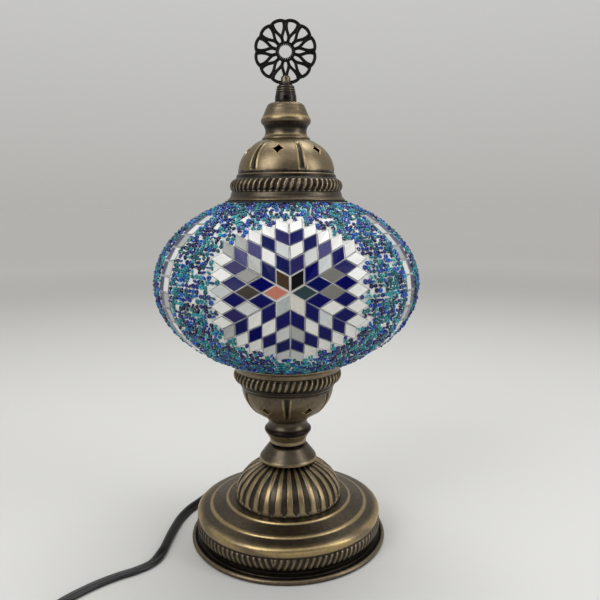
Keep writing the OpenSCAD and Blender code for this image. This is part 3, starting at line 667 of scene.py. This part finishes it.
def holder_neck():
    """Cast neck, the vase shape turned over: foot at the top, a black band under the bulge and a
    worn lower end."""
    h = HOLDER_Z - 0.1 - NECK_Z
    band = NECK_Z + 0.42 * h
    p = joined(vase(h), (12.9, 0.86 * h), (12.8, h), (BORE_R, h))
    p = softened(p, 0.25, 0.35)
    p = np.vstack([p, [(BORE_R, 0), (16, 0)]])
    p = np.column_stack([p[:, 0], HOLDER_Z - 0.1 - p[:, 1]])[::-1]
    skin = Skin()
    lathe(skin, p, 160, None, lambda a, r, z, hh: 0.38 - 0.42 * ease(z, band - 0.4, band + 0.4)
          * (1 - ease(z, band + 2.6, band + 4.0)) + 0.34 * (1 - ease(z, band - 1.0, band))
          + 0.20 * np.exp(-((z - band + 1) / 0.5) ** 2), loop=True)
    make("cast_neck", skin, antique_brass, "base", ("holder_neck",))


base_pan()
base_drum()
base_dome()
base_collar()
holder_neck()

# ------------------------------------------------------------------ bells

VENTS, COLUMNS, VENT_COLUMNS, ROWS_BELOW, ROWS_ABOVE = 6, 504, 36, 20, 8
SECTOR = COLUMNS // VENTS
ROPE_STRANDS = 56
VENT_R, VENT_POWER, VENT_HEIGHT = 4.8, 0.68, 32.4


def bell(name, body, replaced, rim_z, over, vent_az, lean, shade_of):
    """Pressed bell: flared skirt, rope, bead line and a dome with six star vents and six ribs.
    Its rim is at height rim_z, and over turns the bell over, so that the rim is its top. Its
    outline is walked by arc length s, and a point is lifted along the outline's normal by the
    rope, whose strands lean that far, and by the ribs. shade_of gives the dome's painted shade by
    height, darker towards the rope."""
    p = joined((BELL_R + 1.3, 0), (BELL_R + 1.3, 0.7), (BELL_R - 0.6, 2.4), (BELL_R - 1.2, 5.2),
               arc((BELL_R - 7.6, 9.5), 6.7, 5.7, -35, 65), (BELL_R - 4.8, 15.6), (BELL_R - 4.9, 16.4),
               (BELL_R - 6, 17.2), arc((0, 18.1), BELL_R - 6.1, BELL_H - 14.7, 0, 57, 40),
               (16.4, BELL_H - 0.6), (15.4, BELL_H), (BORE_R, BELL_H))
    p = softened(p, 0.22, 0.15)
    s_all, normal = lengths(p), outward(p)
    rising = p[:, 1] < BELL_H - 0.5

    def at(height):
        return np.interp(height, p[rising, 1], s_all[rising])

    rope_low, rope_high = at(5.6), at(13.6)
    bead, dome_low, dome_high, vent_s = at(16.9), at(18.3), at(38.2), at(VENT_HEIGHT - 2.4 * over)
    start = np.radians(vent_az) - TURN * VENT_COLUMNS / COLUMNS / 2
    vent_r = np.interp(vent_s, s_all, p[:, 0])

    def surface(az, s):
        """Point and wear at azimuth az and arc length s."""
        r, z, nr, nz = (np.interp(s, s_all, line) for line in (*p.T, *normal.T))
        t = (2 * s - rope_low - rope_high) / (rope_high - rope_low)
        edge = np.sqrt(np.clip(1 - t * t, 0, 1))
        crest = smooth_crest(ROPE_STRANDS * az - lean * t)
        beads = np.exp(-((s - bead) / 0.45) ** 2)
        rise = np.clip((s - dome_low) / (dome_high - dome_low), 0, 1)
        off = (az - np.radians(vent_az)) * VENTS / TURN % 1 - 0.5
        x = np.abs(off) * TURN / VENTS * r
        half = 1.25 + 1.3 * (1 - rise) ** 2
        inside = ease(rise, 0.02, 0.09) * (1 - ease(rise, 0.74, 0.86))
        groove = (1 - ease(x, 0.45 * half, half)) * inside
        ridge = np.exp(-((x - half - 0.35) / 0.5) ** 2) * inside
        h = edge * (1.0 * crest ** 0.7 - 0.55) + 0.35 * beads - 0.9 * groove + 0.35 * ridge
        # Painted light: the rope's gaps and the ribs' grooves are dark, patina with painted shade; the dome
        # darkens towards the rope as painted shade, and a painted shadow darkens the crease beyond the bead
        # line.
        rope = 0.05 + 0.70 * ease(crest, 0.42, 0.90) * ease(edge, 0.10, 0.6)
        skirt = 0.58 - 0.20 * (not over) + 0.20 * np.exp(-((s - 0.8) / 0.7) ** 2)
        wear = np.where(s < rope_low, skirt, np.where(s < rope_high, rope, 0.10))
        dome = shade_of(rise)
        wear = np.where(s > dome_low, dome + (0.92 - dome) * ridge - dome * 0.82 * groove, wear)
        wear = np.maximum(wear, 0.95 * beads)
        wear = wear * (1 - 0.8 * np.exp(-((s - bead - 0.95) / 0.28) ** 2))
        if over:
            z = BELL_H - z
            nz = -nz
        rr = r + h * nr
        point = np.stack([rr * np.cos(az), rr * np.sin(az), rim_z + z + h * nz], axis=-1)
        return point, wear

    skin = Skin()
    az = start + TURN * np.arange(COLUMNS)[:, None] / COLUMNS
    rows_low = np.concatenate([np.linspace(0, rope_low, 9)[:-1], np.linspace(rope_low, rope_high, 22)[:-1],
                               np.linspace(rope_high, dome_low, 12)])
    rows_dome = np.concatenate([np.linspace(dome_low, vent_s, ROWS_BELOW + 1)[:-1],
                                np.linspace(vent_s, dome_high, ROWS_ABOVE + 1)])
    rows_top = np.linspace(dome_high, s_all[-1], 16)
    for rows in (rows_low, rows_top):
        skin.grid(*surface(az, rows[None, :]), inside_out=over)
    w, m = VENT_COLUMNS, ROWS_BELOW + ROWS_ABOVE
    step = TURN / COLUMNS
    for k in range(VENTS):
        first = start + k * SECTOR * step
        ribs = first + step * np.arange(w, SECTOR + 1)[:, None]
        skin.grid(*surface(ribs, rows_dome[None, :]), round_u=False, inside_out=over)
        # The vent's patch, from the star's edge out to the patch's own rectangle
        i = np.concatenate([np.full(m, w), np.arange(w, 0, -1), np.zeros(m), np.arange(0, w)])
        j = np.concatenate([np.arange(0, m), np.full(w, m), np.arange(m, 0, -1), np.zeros(w)])
        mid = first + step * w / 2
        x = (first + step * i - mid) * vent_r
        y = rows_dome[j.astype(int)] - vent_s
        angle = np.arctan2(y, x)
        star = VENT_R * rounded_square(angle, VENT_POWER)
        sx, sy = star * np.cos(angle), star * np.sin(angle)
        out = (np.linspace(0, 1, 13) ** 1.5)[None, :]
        px, py = sx[:, None] + (x - sx)[:, None] * out, sy[:, None] + (y - sy)[:, None] * out
        point, wear = surface(mid + px / vent_r, vent_s + py)
        near = np.hypot(px - sx[:, None], py - sy[:, None])
        wear = np.maximum(wear, 0.98 * (1 - ease(near, 0.35, 0.8)))
        skin.grid(point, wear, inside_out=not over)
    piece = make(name, skin, antique_brass, body, replaced, weld=0.02)
    thick = piece.modifiers.new("thickness", "SOLIDIFY")
    thick.thickness = 1.0 * MM
    thick.offset = -1.0


# The domes' tone by height is painted shade, darker towards the rope: strongly on the holder, faintly on the
# cap.
bell("holder_bell", "base", ("holder_bowl",), HOLDER_Z, True, -60, -1.9,
     lambda rise: 0.44 + 0.34 * rise)
bell("cap_dome", "cap", ("cap_bell",), CAP_Z, False, -100, 1.9,
     lambda rise: 0.66 + 0.06 * rise)


def cap_crown():
    """Spun crown on the cap: the vase shape under a rounded top."""
    p = joined(vase(CROWN_H), (13.2, 0.86 * CROWN_H), arc((9.6, 0.82 * CROWN_H), 3.4, 0.18 * CROWN_H, 10, 90),
               (3.1, CROWN_H))
    p, outer = walled(softened(p, 0.4, 0.35), 1.0)
    p[:, 1] += CROWN_Z

    def wear(az, r, z, h):
        y = (z - CROWN_Z) / CROWN_H
        foot = 0.60 + 0.22 * np.exp(-((y - 0.09) / 0.03) ** 2) - 0.28 * ease(y, 0.12, 0.20)
        waist = 0.50 * np.exp(-((y - 0.33) / 0.06) ** 2)
        # The bright band round the bulge is a painted highlight.
        bulge = 0.58 * ease(y, 0.40, 0.50) + 0.36 * np.exp(-((y - 0.59) / 0.045) ** 2)
        return np.where(y < 0.42, foot - waist, np.maximum(0.12, bulge)) + 0.10 * ease(y, 0.9, 1.0)

    skin = Skin()
    lathe(skin, p, 176, None, wear, outer, loop=True)
    make("crown", skin, antique_brass, "cap", ("cap_crown",))


cap_crown()

# ------------------------------------------------------------------ finial


def finial_stem():
    """Stem of the finial: a barrel, three close rings and a cone with a rounded tip."""
    rings = [arc(centre, 0.75, 0.75, -60, 60, 8) for centre in ((5.8, 7.2), (5.45, 8.7), (5.1, 10.2))]
    p = joined((3.2, 0), (6.9, 0), (7.15, 1.6), (7.0, 4.4), (6.5, 6.3), *rings,
               (4.7, 11.1), (3.7, 13.2), (3.1, 15), arc((1.5, 15.5), 1.6, 1.9, 0, 90, 8), (0, 17.4))
    p = softened(p, 0.12, 0.18)
    p = np.vstack([p, [(0, 9.0), (3.2, 9.0)]])
    p[:, 1] += STEM_Z
    skin = Skin()
    lathe(skin, p, 96, None, lambda a, r, z, h: 0.42 + 0.40 * ease(z, STEM_Z + 10.5, STEM_Z + 15)
          + 0.34 * np.cos((z - STEM_Z - 7.2) * TURN / 1.5) * (z < STEM_Z + 10.8) * (z > STEM_Z + 6.4),
          loop=True)
    make("stem", skin, dark_bronze, "finial", ("finial_stem",))


def ribbon(skin, p, width, depth, loop=False):
    """A flat line (x, z) in the rosette's plane as a rounded bar, width across and depth thick."""
    path = np.column_stack([p[:, 0], np.zeros(len(p)), p[:, 1] + ROSETTE_Z])
    t = np.gradient(path, axis=0) if not loop else np.roll(path, -1, 0) - np.roll(path, 1, 0)
    a = np.radians(np.arange(0, 360, 30) + 15)
    bulge = rounded_square(a, 3.2)
    section = np.column_stack([width / 2 * bulge * np.cos(a), depth / 2 * bulge * np.sin(a)])
    side = np.cross(t, (0, 1.0, 0))
    worn = 0.06 + 0.08 * (np.abs(section[:, 1]) > 0.42 * depth)[:, None] * np.ones(len(p) + 2 * (not loop))
    swept(skin, path, section, side, worn, loop)


def finial_rosette():
    """Openwork disc: twelve spokes, each of two legs that pinch together and part again towards
    the inner ring, scallops between them on the rim, and small teeth inside the ring."""
    R, skin = ROSETTE_R, Skin()
    leg = np.array([(0.93, 0.062), (0.86, 0.048), (0.78, 0.036), (0.65, 0.050), (0.52, 0.088), (0.42, 0.104),
                    (0.31, 0.080)]) * R
    for k in range(PETALS):
        a = np.pi / 2 + TURN * k / PETALS
        u, v = np.array([np.cos(a), np.sin(a)]), np.array([-np.sin(a), np.cos(a)])
        for side in (-1, 1):
            line = through(leg * (1, side), 5)
            ribbon(skin, line[:, :1] * u + line[:, 1:] * v, 2.0, ROSETTE_T)
        b = np.linspace(0, TURN / PETALS, 13)
        swell = (0.895 + 0.062 * np.sin(b * PETALS / 2) ** 0.7) * R
        ribbon(skin, np.column_stack([swell * np.cos(a + b), swell * np.sin(a + b)]), 2.1, ROSETTE_T)
    c = np.linspace(0, TURN, 73)[:-1]
    ribbon(skin, 0.28 * R * np.column_stack([np.cos(c), np.sin(c)]), 1.6, ROSETTE_T * 0.96, loop=True)
    for k in range(2 * PETALS):
        d = TURN * (k + 0.5) / (2 * PETALS)
        tooth = np.array([[0.27], [0.235], [0.20]]) * R * [[np.cos(d), np.sin(d)]]
        ribbon(skin, tooth, 1.0, ROSETTE_T * 0.8)
    make("rosette", skin, dark_bronze, "finial", ("finial_rosette",))


finial_stem()
finial_rosette()

# ------------------------------------------------------------------ shade

LATITUDES = np.radians(np.linspace(-85, 85, 3401))
GROWTH = np.hypot(SHADE_R * np.sin(LATITUDES), SHADE_H * np.cos(LATITUDES))
HEIGHTS = np.concatenate([[0], np.cumsum((GROWTH[1:] + GROWTH[:-1]) / 2 * np.diff(LATITUDES))])
HEIGHTS -= np.interp(0, LATITUDES, HEIGHTS)


def oval(az, t, d):
    """Point at azimuth az from the front and latitude t, d under the face of the beads."""
    r = (SHADE_R - d) * np.cos(t)
    return np.stack([r * np.sin(az), -r * np.cos(az), SHADE_Z + (SHADE_H - d) * np.sin(t)], axis=-1)


def on_shade(u, v, d):
    """Point u sideways and v up along the oval from the front of its widest circle, d under the
    face of the beads: latitude t from arc length v, azimuth u / (R cos t)."""
    t = np.interp(v, HEIGHTS, LATITUDES)
    return oval(u / (SHADE_R * np.cos(t)), t, d)


V_LOW = float(np.interp(-np.arccos(SKIN_LOW / SHADE_R), LATITUDES, HEIGHTS))
V_TOP = float(np.interp(np.arccos(SKIN_TOP / SHADE_R), LATITUDES, HEIGHTS))


def plaster_shell():
    """Plaster between the glass and the mosaic, uneven by a tenth of a millimetre: m rows outside,
    and a few inside, against the glass."""
    n, m, few = 288, 120, 24
    v = np.linspace(V_LOW + 0.6, V_TOP - 0.6, m)[None, :]
    az = TURN * np.arange(n)[:, None] / n
    rough = 0.10 * np.sin(31 * az + 1.1 * v) * np.sin(0.9 * v - 17 * az) + 0.07 * rng.normal(size=(n, m))
    inner = np.linspace(V_TOP - 0.6, V_LOW + 0.6, few)[None, :]
    depth = np.concatenate([1.2 + np.clip(rough, -0.2, 0.2), np.full((n, few), 3.4)], axis=1)
    t = np.interp(np.concatenate([v, inner], axis=1), HEIGHTS, LATITUDES)
    r, z = (SHADE_R - depth) * np.cos(t), SHADE_Z + (SHADE_H - depth) * np.sin(t)
    skin = Skin()
    skin.grid(np.stack([r * np.cos(az), r * np.sin(az), z], axis=-1), round_v=True)
    make("plaster_skin", skin, plaster, "shade", ("plaster_coat",))


TILE_FACES = np.array([
    (3, 2, 1, 0), (0, 1, 5, 4), (1, 2, 6, 5), (2, 3, 7, 6), (3, 0, 4, 7),
    (4, 5, 9, 8), (5, 6, 10, 9), (6, 7, 11, 10), (7, 4, 8, 11), (8, 9, 10, 11)])
# 1 on the tiles' sides and bevels, which take the glass's edge colour, partly a painted reflection; 0 on the
# face.
TILE_BEVEL_SHEEN = np.repeat([1.0, 1.0, 0.0], 4)


def tiles(skin, corners, turn, paint):
    """Flat tiles on the shade from their corners [tile, corner, (u, v)]: each is shifted, turned
    and tipped a little, and has a ground edge round its face."""
    n = len(corners)
    mid = corners.mean(axis=1, keepdims=True)
    a = rng.normal(0, 0.016, (n, 1))
    x, y = np.moveaxis(corners - mid, -1, 0)
    q = np.stack([x * np.cos(a) - y * np.sin(a), x * np.sin(a) + y * np.cos(a)], axis=-1)
    q *= rng.uniform(0.97, 1.015, (n, 1, 1))
    mid = mid + rng.normal(0, 0.08, (n, 1, 2))
    tip = np.sum(q * rng.normal(0, 0.020, (n, 1, 2)), axis=-1)
    rings = []
    for scale, depth in ((1.0, TILE_IN), (1.0, TILE_EDGE), (0.86, TILE_FACE)):
        at = mid + scale * q
        rings.append(on_shade(at[..., 0], at[..., 1], depth + scale * tip * (depth < TILE_IN)))
    skin.copies(turned(np.concatenate(rings, axis=1), turn), TILE_FACES, TILE_BEVEL_SHEEN, paint)


def cells(origin, a, b):
    """Corners of cells with edges a and b, drawn in from their neighbours by the grout."""
    k = GROUT / 2 / np.linalg.norm(a, axis=-1, keepdims=True)
    m = GROUT / 2 / np.linalg.norm(b, axis=-1, keepdims=True)
    ends = [(k, m), (1 - k, m), (1 - k, 1 - m), (k, 1 - m)]
    return np.stack([origin + s * a + t * b for s, t in ends], axis=1)


def way(degrees):
    """Unit vector."""
    return np.stack([np.cos(np.radians(degrees)), np.sin(np.radians(degrees))], axis=-1)


WHITE, MILK, ASH, SMOKE = (0.80, 0.80, 0.77), (0.60, 0.63, 0.62), (0.40, 0.41, 0.39), (0.19, 0.185, 0.165)
BARK = (0.055, 0.045, 0.033)
COBALT, NAVY, VIOLET = (0.0008, 0.0010, 0.100), (0.002, 0.005, 0.085), (0.018, 0.015, 0.11)
LILAC = (0.075, 0.070, 0.20)
# The six mirrors round the centre of the star, anticlockwise from the right: their colours are painted
# reflections of the room
PAINTED_REFLECTIONS = [(0.028, 0.055, 0.060), (0.0015, 0.0015, 0.0035), (0.060, 0.035, 0.018), (0.55, 0.20, 0.14),
           (0.42, 0.46, 0.45), (0.68, 0.65, 0.58)]
# Tiles whose glass differs from the rest of their ring in the front star: arm, step along each edge
ODD = {(3, 1, 1): BARK, (0, 1, 1): SMOKE, (2, 0, 2): ASH, (3, 2, 0): SMOKE, (1, 2, 0): MILK,
       (0, 0, 2): SMOKE, (2, 2, 0): MILK, (1, 0, 1): VIOLET, (2, 1, 2): LILAC, (2, 0, 3): LILAC,
       (1, 2, 1): LILAC, (3, 0, 3): VIOLET, (2, 3, 0): VIOLET, (2, 2, 1): NAVY, (3, 3, 0): VIOLET}
# Limits of chance, and the glass up to each
DIVIDER_CLEAR = [(0.25, ASH), (0.6, MILK), (2, WHITE)]
DIVIDER_VIOLET = [(0.4, (0.040, 0.037, 0.10)), (2, (0.060, 0.058, 0.13))]


def picked(chance, choices):
    """A colour for each chance: the first of the choices (limit, colour) whose limit is above it."""
    below = [(chance < limit)[:, None] for limit, colour in choices]
    return np.select(below, [np.array(colour) for limit, colour in choices])


def stars():
    """Six lozenges of 5 by 5 small lozenges round a point, on three sides of the shade. The ring
    number i + j + 1 picks the glass: mirror, cobalt, clear, cobalt, clear."""
    arm, i, j = np.indices((6, RINGS, RINGS)).reshape(3, -1)
    a, b = TILE * way(60 * arm - 30), TILE * way(60 * arm + 30)
    corners = cells(i[:, None] * a + j[:, None] * b, a, b) + (0, STAR_RISE)
    ring = i + j + 1
    upward = np.sin(np.radians(60 * arm)) > 0.1
    rings = {mirror_glass: ring == 1, cobalt_glass: (ring == 2) | (ring == 4),
             clear_glass: (ring == 3) | (ring == RINGS)}
    skins = {glass: Skin() for glass in rings}
    for star in range(STARS):
        chance = rng.uniform(size=len(ring))
        blue = picked(chance, [(0.05 + 0.06 * upward, VIOLET), (0.66, COBALT), (2, NAVY)])
        pale = picked(chance, [(0.14, ASH), (0.36, MILK), (2, WHITE)])
        # Each mirror tile's paint is a painted reflection.
        mirror = np.array(PAINTED_REFLECTIONS)[(arm + 2 * star) % 6]
        if star == 0:
            for key, colour in ODD.items():
                hit = (arm == key[0]) & (i == key[1]) & (j == key[2])
                blue[hit] = colour
                pale[hit] = colour
        turn = STAR_TURN + 360 * star / STARS
        for (glass, here), paint in zip(rings.items(), (mirror, blue, pale)):
            tiles(skins[glass], corners[here], turn, paint[here])
    for kind, (glass, skin) in zip(("mirror", "cobalt", "clear"), skins.items()):
        make(f"{kind}_mosaic", skin, glass, "shade", (f"{kind}_tiles",), False, 0)


def dividers():
    """Two columns of tiles half way between the stars: clear on the side of the front star, and
    violet beside it."""
    step = DIVIDER_SPAN / DIVIDER_COUNT
    low = step * np.arange(DIVIDER_COUNT) - DIVIDER_SPAN / 2
    clear, violet = Skin(), Skin()
    for k in range(STARS):
        turn = STAR_TURN + 180 / STARS + 360 * k / STARS
        clear_left = k < STARS - 1
        for skin, left in ((clear, clear_left), (violet, not clear_left)):
            origin = np.column_stack([np.full(len(low), -DIVIDER_W if left else 0.0), low])
            a = np.broadcast_to((DIVIDER_W, 0.0), origin.shape)
            b = np.broadcast_to((0.0, step), origin.shape)
            choices = DIVIDER_CLEAR if skin is clear else DIVIDER_VIOLET
            paint = picked(rng.uniform(size=len(low)), choices)
            tiles(skin, cells(origin, a, b), turn, paint)
    make("divider_clear", clear, clear_glass, "shade", ("divider_clear_tiles",), False, 0)
    make("divider_violet", violet, violet_glass, "shade", ("divider_violet_tiles",), False, 0)


BEAD_COLOURS = np.array([(0.002, 0.007, 0.085), (0.003, 0.032, 0.27), (0.005, 0.11, 0.50),
                         (0.003, 0.10, 0.135), (0.005, 0.22, 0.28), (0.03, 0.38, 0.43)])
BEAD_PITCH, ROW_PITCH = 3.15, 2.85
BEAD_SIDES, BEAD_RIBS = 11, 6
BEAD_MARGIN = 0.10  # of a tile's side, between the tiles and the beads' middles
BEAD_IN = 0.8
BEAD_RING, BEAD_TUBE = 1.04, 0.62
BEAD_FIELDS, BEAD_SHIFT = 5, 0.42


def bead_places():
    """Rows of beads all over the shade, each bead moved by chance, without those that would lie
    on a tile and a few that are missing."""
    rows = np.arange(V_LOW + 1.3, V_TOP - 1.0, ROW_PITCH)
    around = TURN * SHADE_R * np.cos(np.interp(rows, HEIGHTS, LATITUDES))
    counts = np.floor(around / BEAD_PITCH).astype(int)
    v = np.repeat(rows, counts)
    number = np.arange(len(v)) - np.repeat(np.cumsum(counts) - counts, counts)
    az = TURN * (number + np.repeat(rng.uniform(size=len(rows)), counts)) / np.repeat(counts, counts)
    v = v + rng.uniform(-BEAD_SHIFT, BEAD_SHIFT, len(v))
    radius = SHADE_R * np.cos(np.interp(v, HEIGHTS, LATITUDES))
    az = az + rng.uniform(-BEAD_SHIFT, BEAD_SHIFT, len(v)) / radius
    keep = rng.uniform(size=len(v)) > 0.05
    for k in range(STARS):
        off = (az - np.radians(STAR_TURN + 360 * k / STARS) + np.pi) % TURN - np.pi
        point = np.column_stack([off * radius, v - STAR_RISE])
        for arm in range(6):
            basis = TILE * np.array([way(60 * arm - 30), way(60 * arm + 30)])
            c = point @ np.linalg.inv(basis)
            steps = np.floor(np.maximum(c - BEAD_MARGIN, 0)).sum(axis=1)
            keep &= ~(np.all(c > -BEAD_MARGIN, axis=1) & (steps < RINGS))
        off = (az - np.radians(STAR_TURN + 180 / STARS + 360 * k / STARS) + np.pi) % TURN - np.pi
        keep &= ~((np.abs(off * radius) < DIVIDER_W + 0.8) & (np.abs(v) < DIVIDER_SPAN / 2 + 0.8))
    return az[keep], v[keep]


def seed_beads():
    """Seed beads as small rings: centre + (R + r cos f)(cos q B + sin q C) + r sin f A, where the
    ring's axis A lies along the shade's normal, or is tipped on its side by chance."""
    az, v = bead_places()
    n = len(az)
    t = np.interp(v, HEIGHTS, LATITUDES)
    wide = SHADE_H * np.cos(t)
    normal = np.stack([wide * np.sin(az), -wide * np.cos(az), SHADE_R * np.sin(t)], -1)
    normal /= np.linalg.norm(normal, axis=1)[:, None]
    east = np.stack([np.cos(az), np.sin(az), np.zeros(n)], -1)
    north = np.cross(normal, east)
    heading = rng.uniform(0, TURN, n)[:, None]
    lying = rng.uniform(size=n) < 0.52
    tip = np.where(lying, np.abs(rng.normal(0, 0.22, n)), rng.uniform(0.9, 1.55, n))[:, None]
    flat = east * np.cos(heading) + north * np.sin(heading)
    axis = normal * np.cos(tip) + flat * np.sin(tip)
    one = np.cross(axis, north * np.cos(heading) - east * np.sin(heading))
    one /= np.linalg.norm(one, axis=1)[:, None]
    two = np.cross(axis, one)
    size = rng.uniform(0.78, 1.06, n)[:, None, None, None]
    q = (TURN * np.arange(BEAD_SIDES) / BEAD_SIDES)[None, :, None, None]
    f = (TURN * np.arange(BEAD_RIBS) / BEAD_RIBS)[None, None, :, None]
    long = rng.uniform(0.95, 1.3, n)[:, None, None, None]
    one, two, axis = one[:, None, None], two[:, None, None], axis[:, None, None]
    centre = oval(az, t, BEAD_IN)
    local = (BEAD_RING + BEAD_TUBE * np.cos(f)) * (np.cos(q) * one + np.sin(q) * two)
    local = local + BEAD_TUBE * long * np.sin(f) * axis
    p = (centre[:, None, None] + size * local).reshape(n, -1, 3)
    faces = quads(np.arange(BEAD_SIDES * BEAD_RIBS).reshape(BEAD_SIDES, BEAD_RIBS), True, True).reshape(-1, 4)
    field = np.sin(v * 0.33 + 4 * np.sin(az * 3)) * np.sin(az * 19 + 0.21 * v) + rng.normal(0, 0.75, n)
    shade = rng.choice(3, n, p=[0.34, 0.38, 0.28])
    paint = BEAD_COLOURS[np.where(field > 0.06, shade + 3, shade)] * rng.uniform(0.75, 1.2, (n, 1))
    sector = ((az % TURN) / TURN * BEAD_FIELDS).astype(int)
    for k in range(BEAD_FIELDS):
        skin = Skin()
        skin.copies(p[sector == k], faces, 0.0, paint[sector == k])
        replaced = ("seed_beads",) if k == 0 else ()
        make(f"bead_field_{k + 1}", skin, bead_glass, "shade", replaced, weld=0)


plaster_shell()
stars()
dividers()
seed_beads()

# ------------------------------------------------------------------ floor and air

NEAR, FAR, ZENITH = (0.65, 0.647, 0.63), (0.445, 0.440, 0.424), (0.60, 0.597, 0.583)
DIM = (0.13, 0.128, 0.125)
# The paper far from the lamp is painted lighter: painted light.
PAPER_FAR_PAINTED_LIGHT, PAPER_END_PAINTED_LIGHT = (0.81, 0.803, 0.773), (0.86, 0.852, 0.825)


def floor_paper():
    """Pale paper, faintly mottled, painted lighter further from the lamp as painted light."""
    finish = Finish("floor_paper", {"Roughness": 0.9})
    point = finish.node("ShaderNodeTexCoord", output="Object")
    away = finish.node("ShaderNodeVectorMath", {"operation": "LENGTH"}, {0: point}, output="Value")
    mottle = (finish.noise(60.0, 3.0) - 0.5) * 0.04
    stops = [(0.0, NEAR), (0.13, NEAR), (0.31, PAPER_FAR_PAINTED_LIGHT), (1.0, PAPER_END_PAINTED_LIGHT)]
    return finish.feed(Base_Color=finish.ramp(away.between(0.30, 5.0) + mottle, stops))


ground = bpy.data.meshes.new("floor")
ground.from_pydata([(-40, -40, 0), (40, -40, 0), (40, 40, 0), (-40, 40, 0)], [], [(0, 1, 2, 3)])
ground.materials.append(floor_paper())
floor = bpy.data.objects.new("floor", ground)
bpy.context.scene.collection.objects.link(floor)


def air():
    """Grey room: what is seen grows lighter upwards, and what lights the lamp is dim on the side
    of the room in front of it."""
    world = bpy.data.worlds.new("air")
    world.use_nodes = True
    nodes, links = world.node_tree.nodes, world.node_tree.links
    seen, lit = nodes["Background"], nodes.new("ShaderNodeBackground")
    split = nodes.new("ShaderNodeSeparateXYZ")
    links.new(nodes.new("ShaderNodeTexCoord").outputs["Generated"], split.inputs[0])
    for background, axis, stops in (
            (seen, "Z", [(0.0, FAR), (0.35, ZENITH)]),
            (lit, "Y", [(0.0, DIM), (0.40, DIM), (0.60, FAR)])):
        ramp = nodes.new("ShaderNodeValToRGB")
        reach = nodes.new("ShaderNodeMapRange")
        reach.inputs["From Min"].default_value = 0.0 if axis == "Z" else -1.0
        links.new(split.outputs[axis], reach.inputs["Value"])
        set_stops(ramp.color_ramp, stops)
        links.new(reach.outputs[0], ramp.inputs["Fac"])
        links.new(ramp.outputs["Color"], background.inputs["Color"])
    choose, path = nodes.new("ShaderNodeMixShader"), nodes.new("ShaderNodeLightPath")
    links.new(path.outputs["Is Camera Ray"], choose.inputs["Fac"])
    links.new(lit.outputs[0], choose.inputs[1])
    links.new(seen.outputs[0], choose.inputs[2])
    links.new(choose.outputs[0], nodes["World Output"].inputs["Surface"])
    return world


bpy.context.scene.world = air()
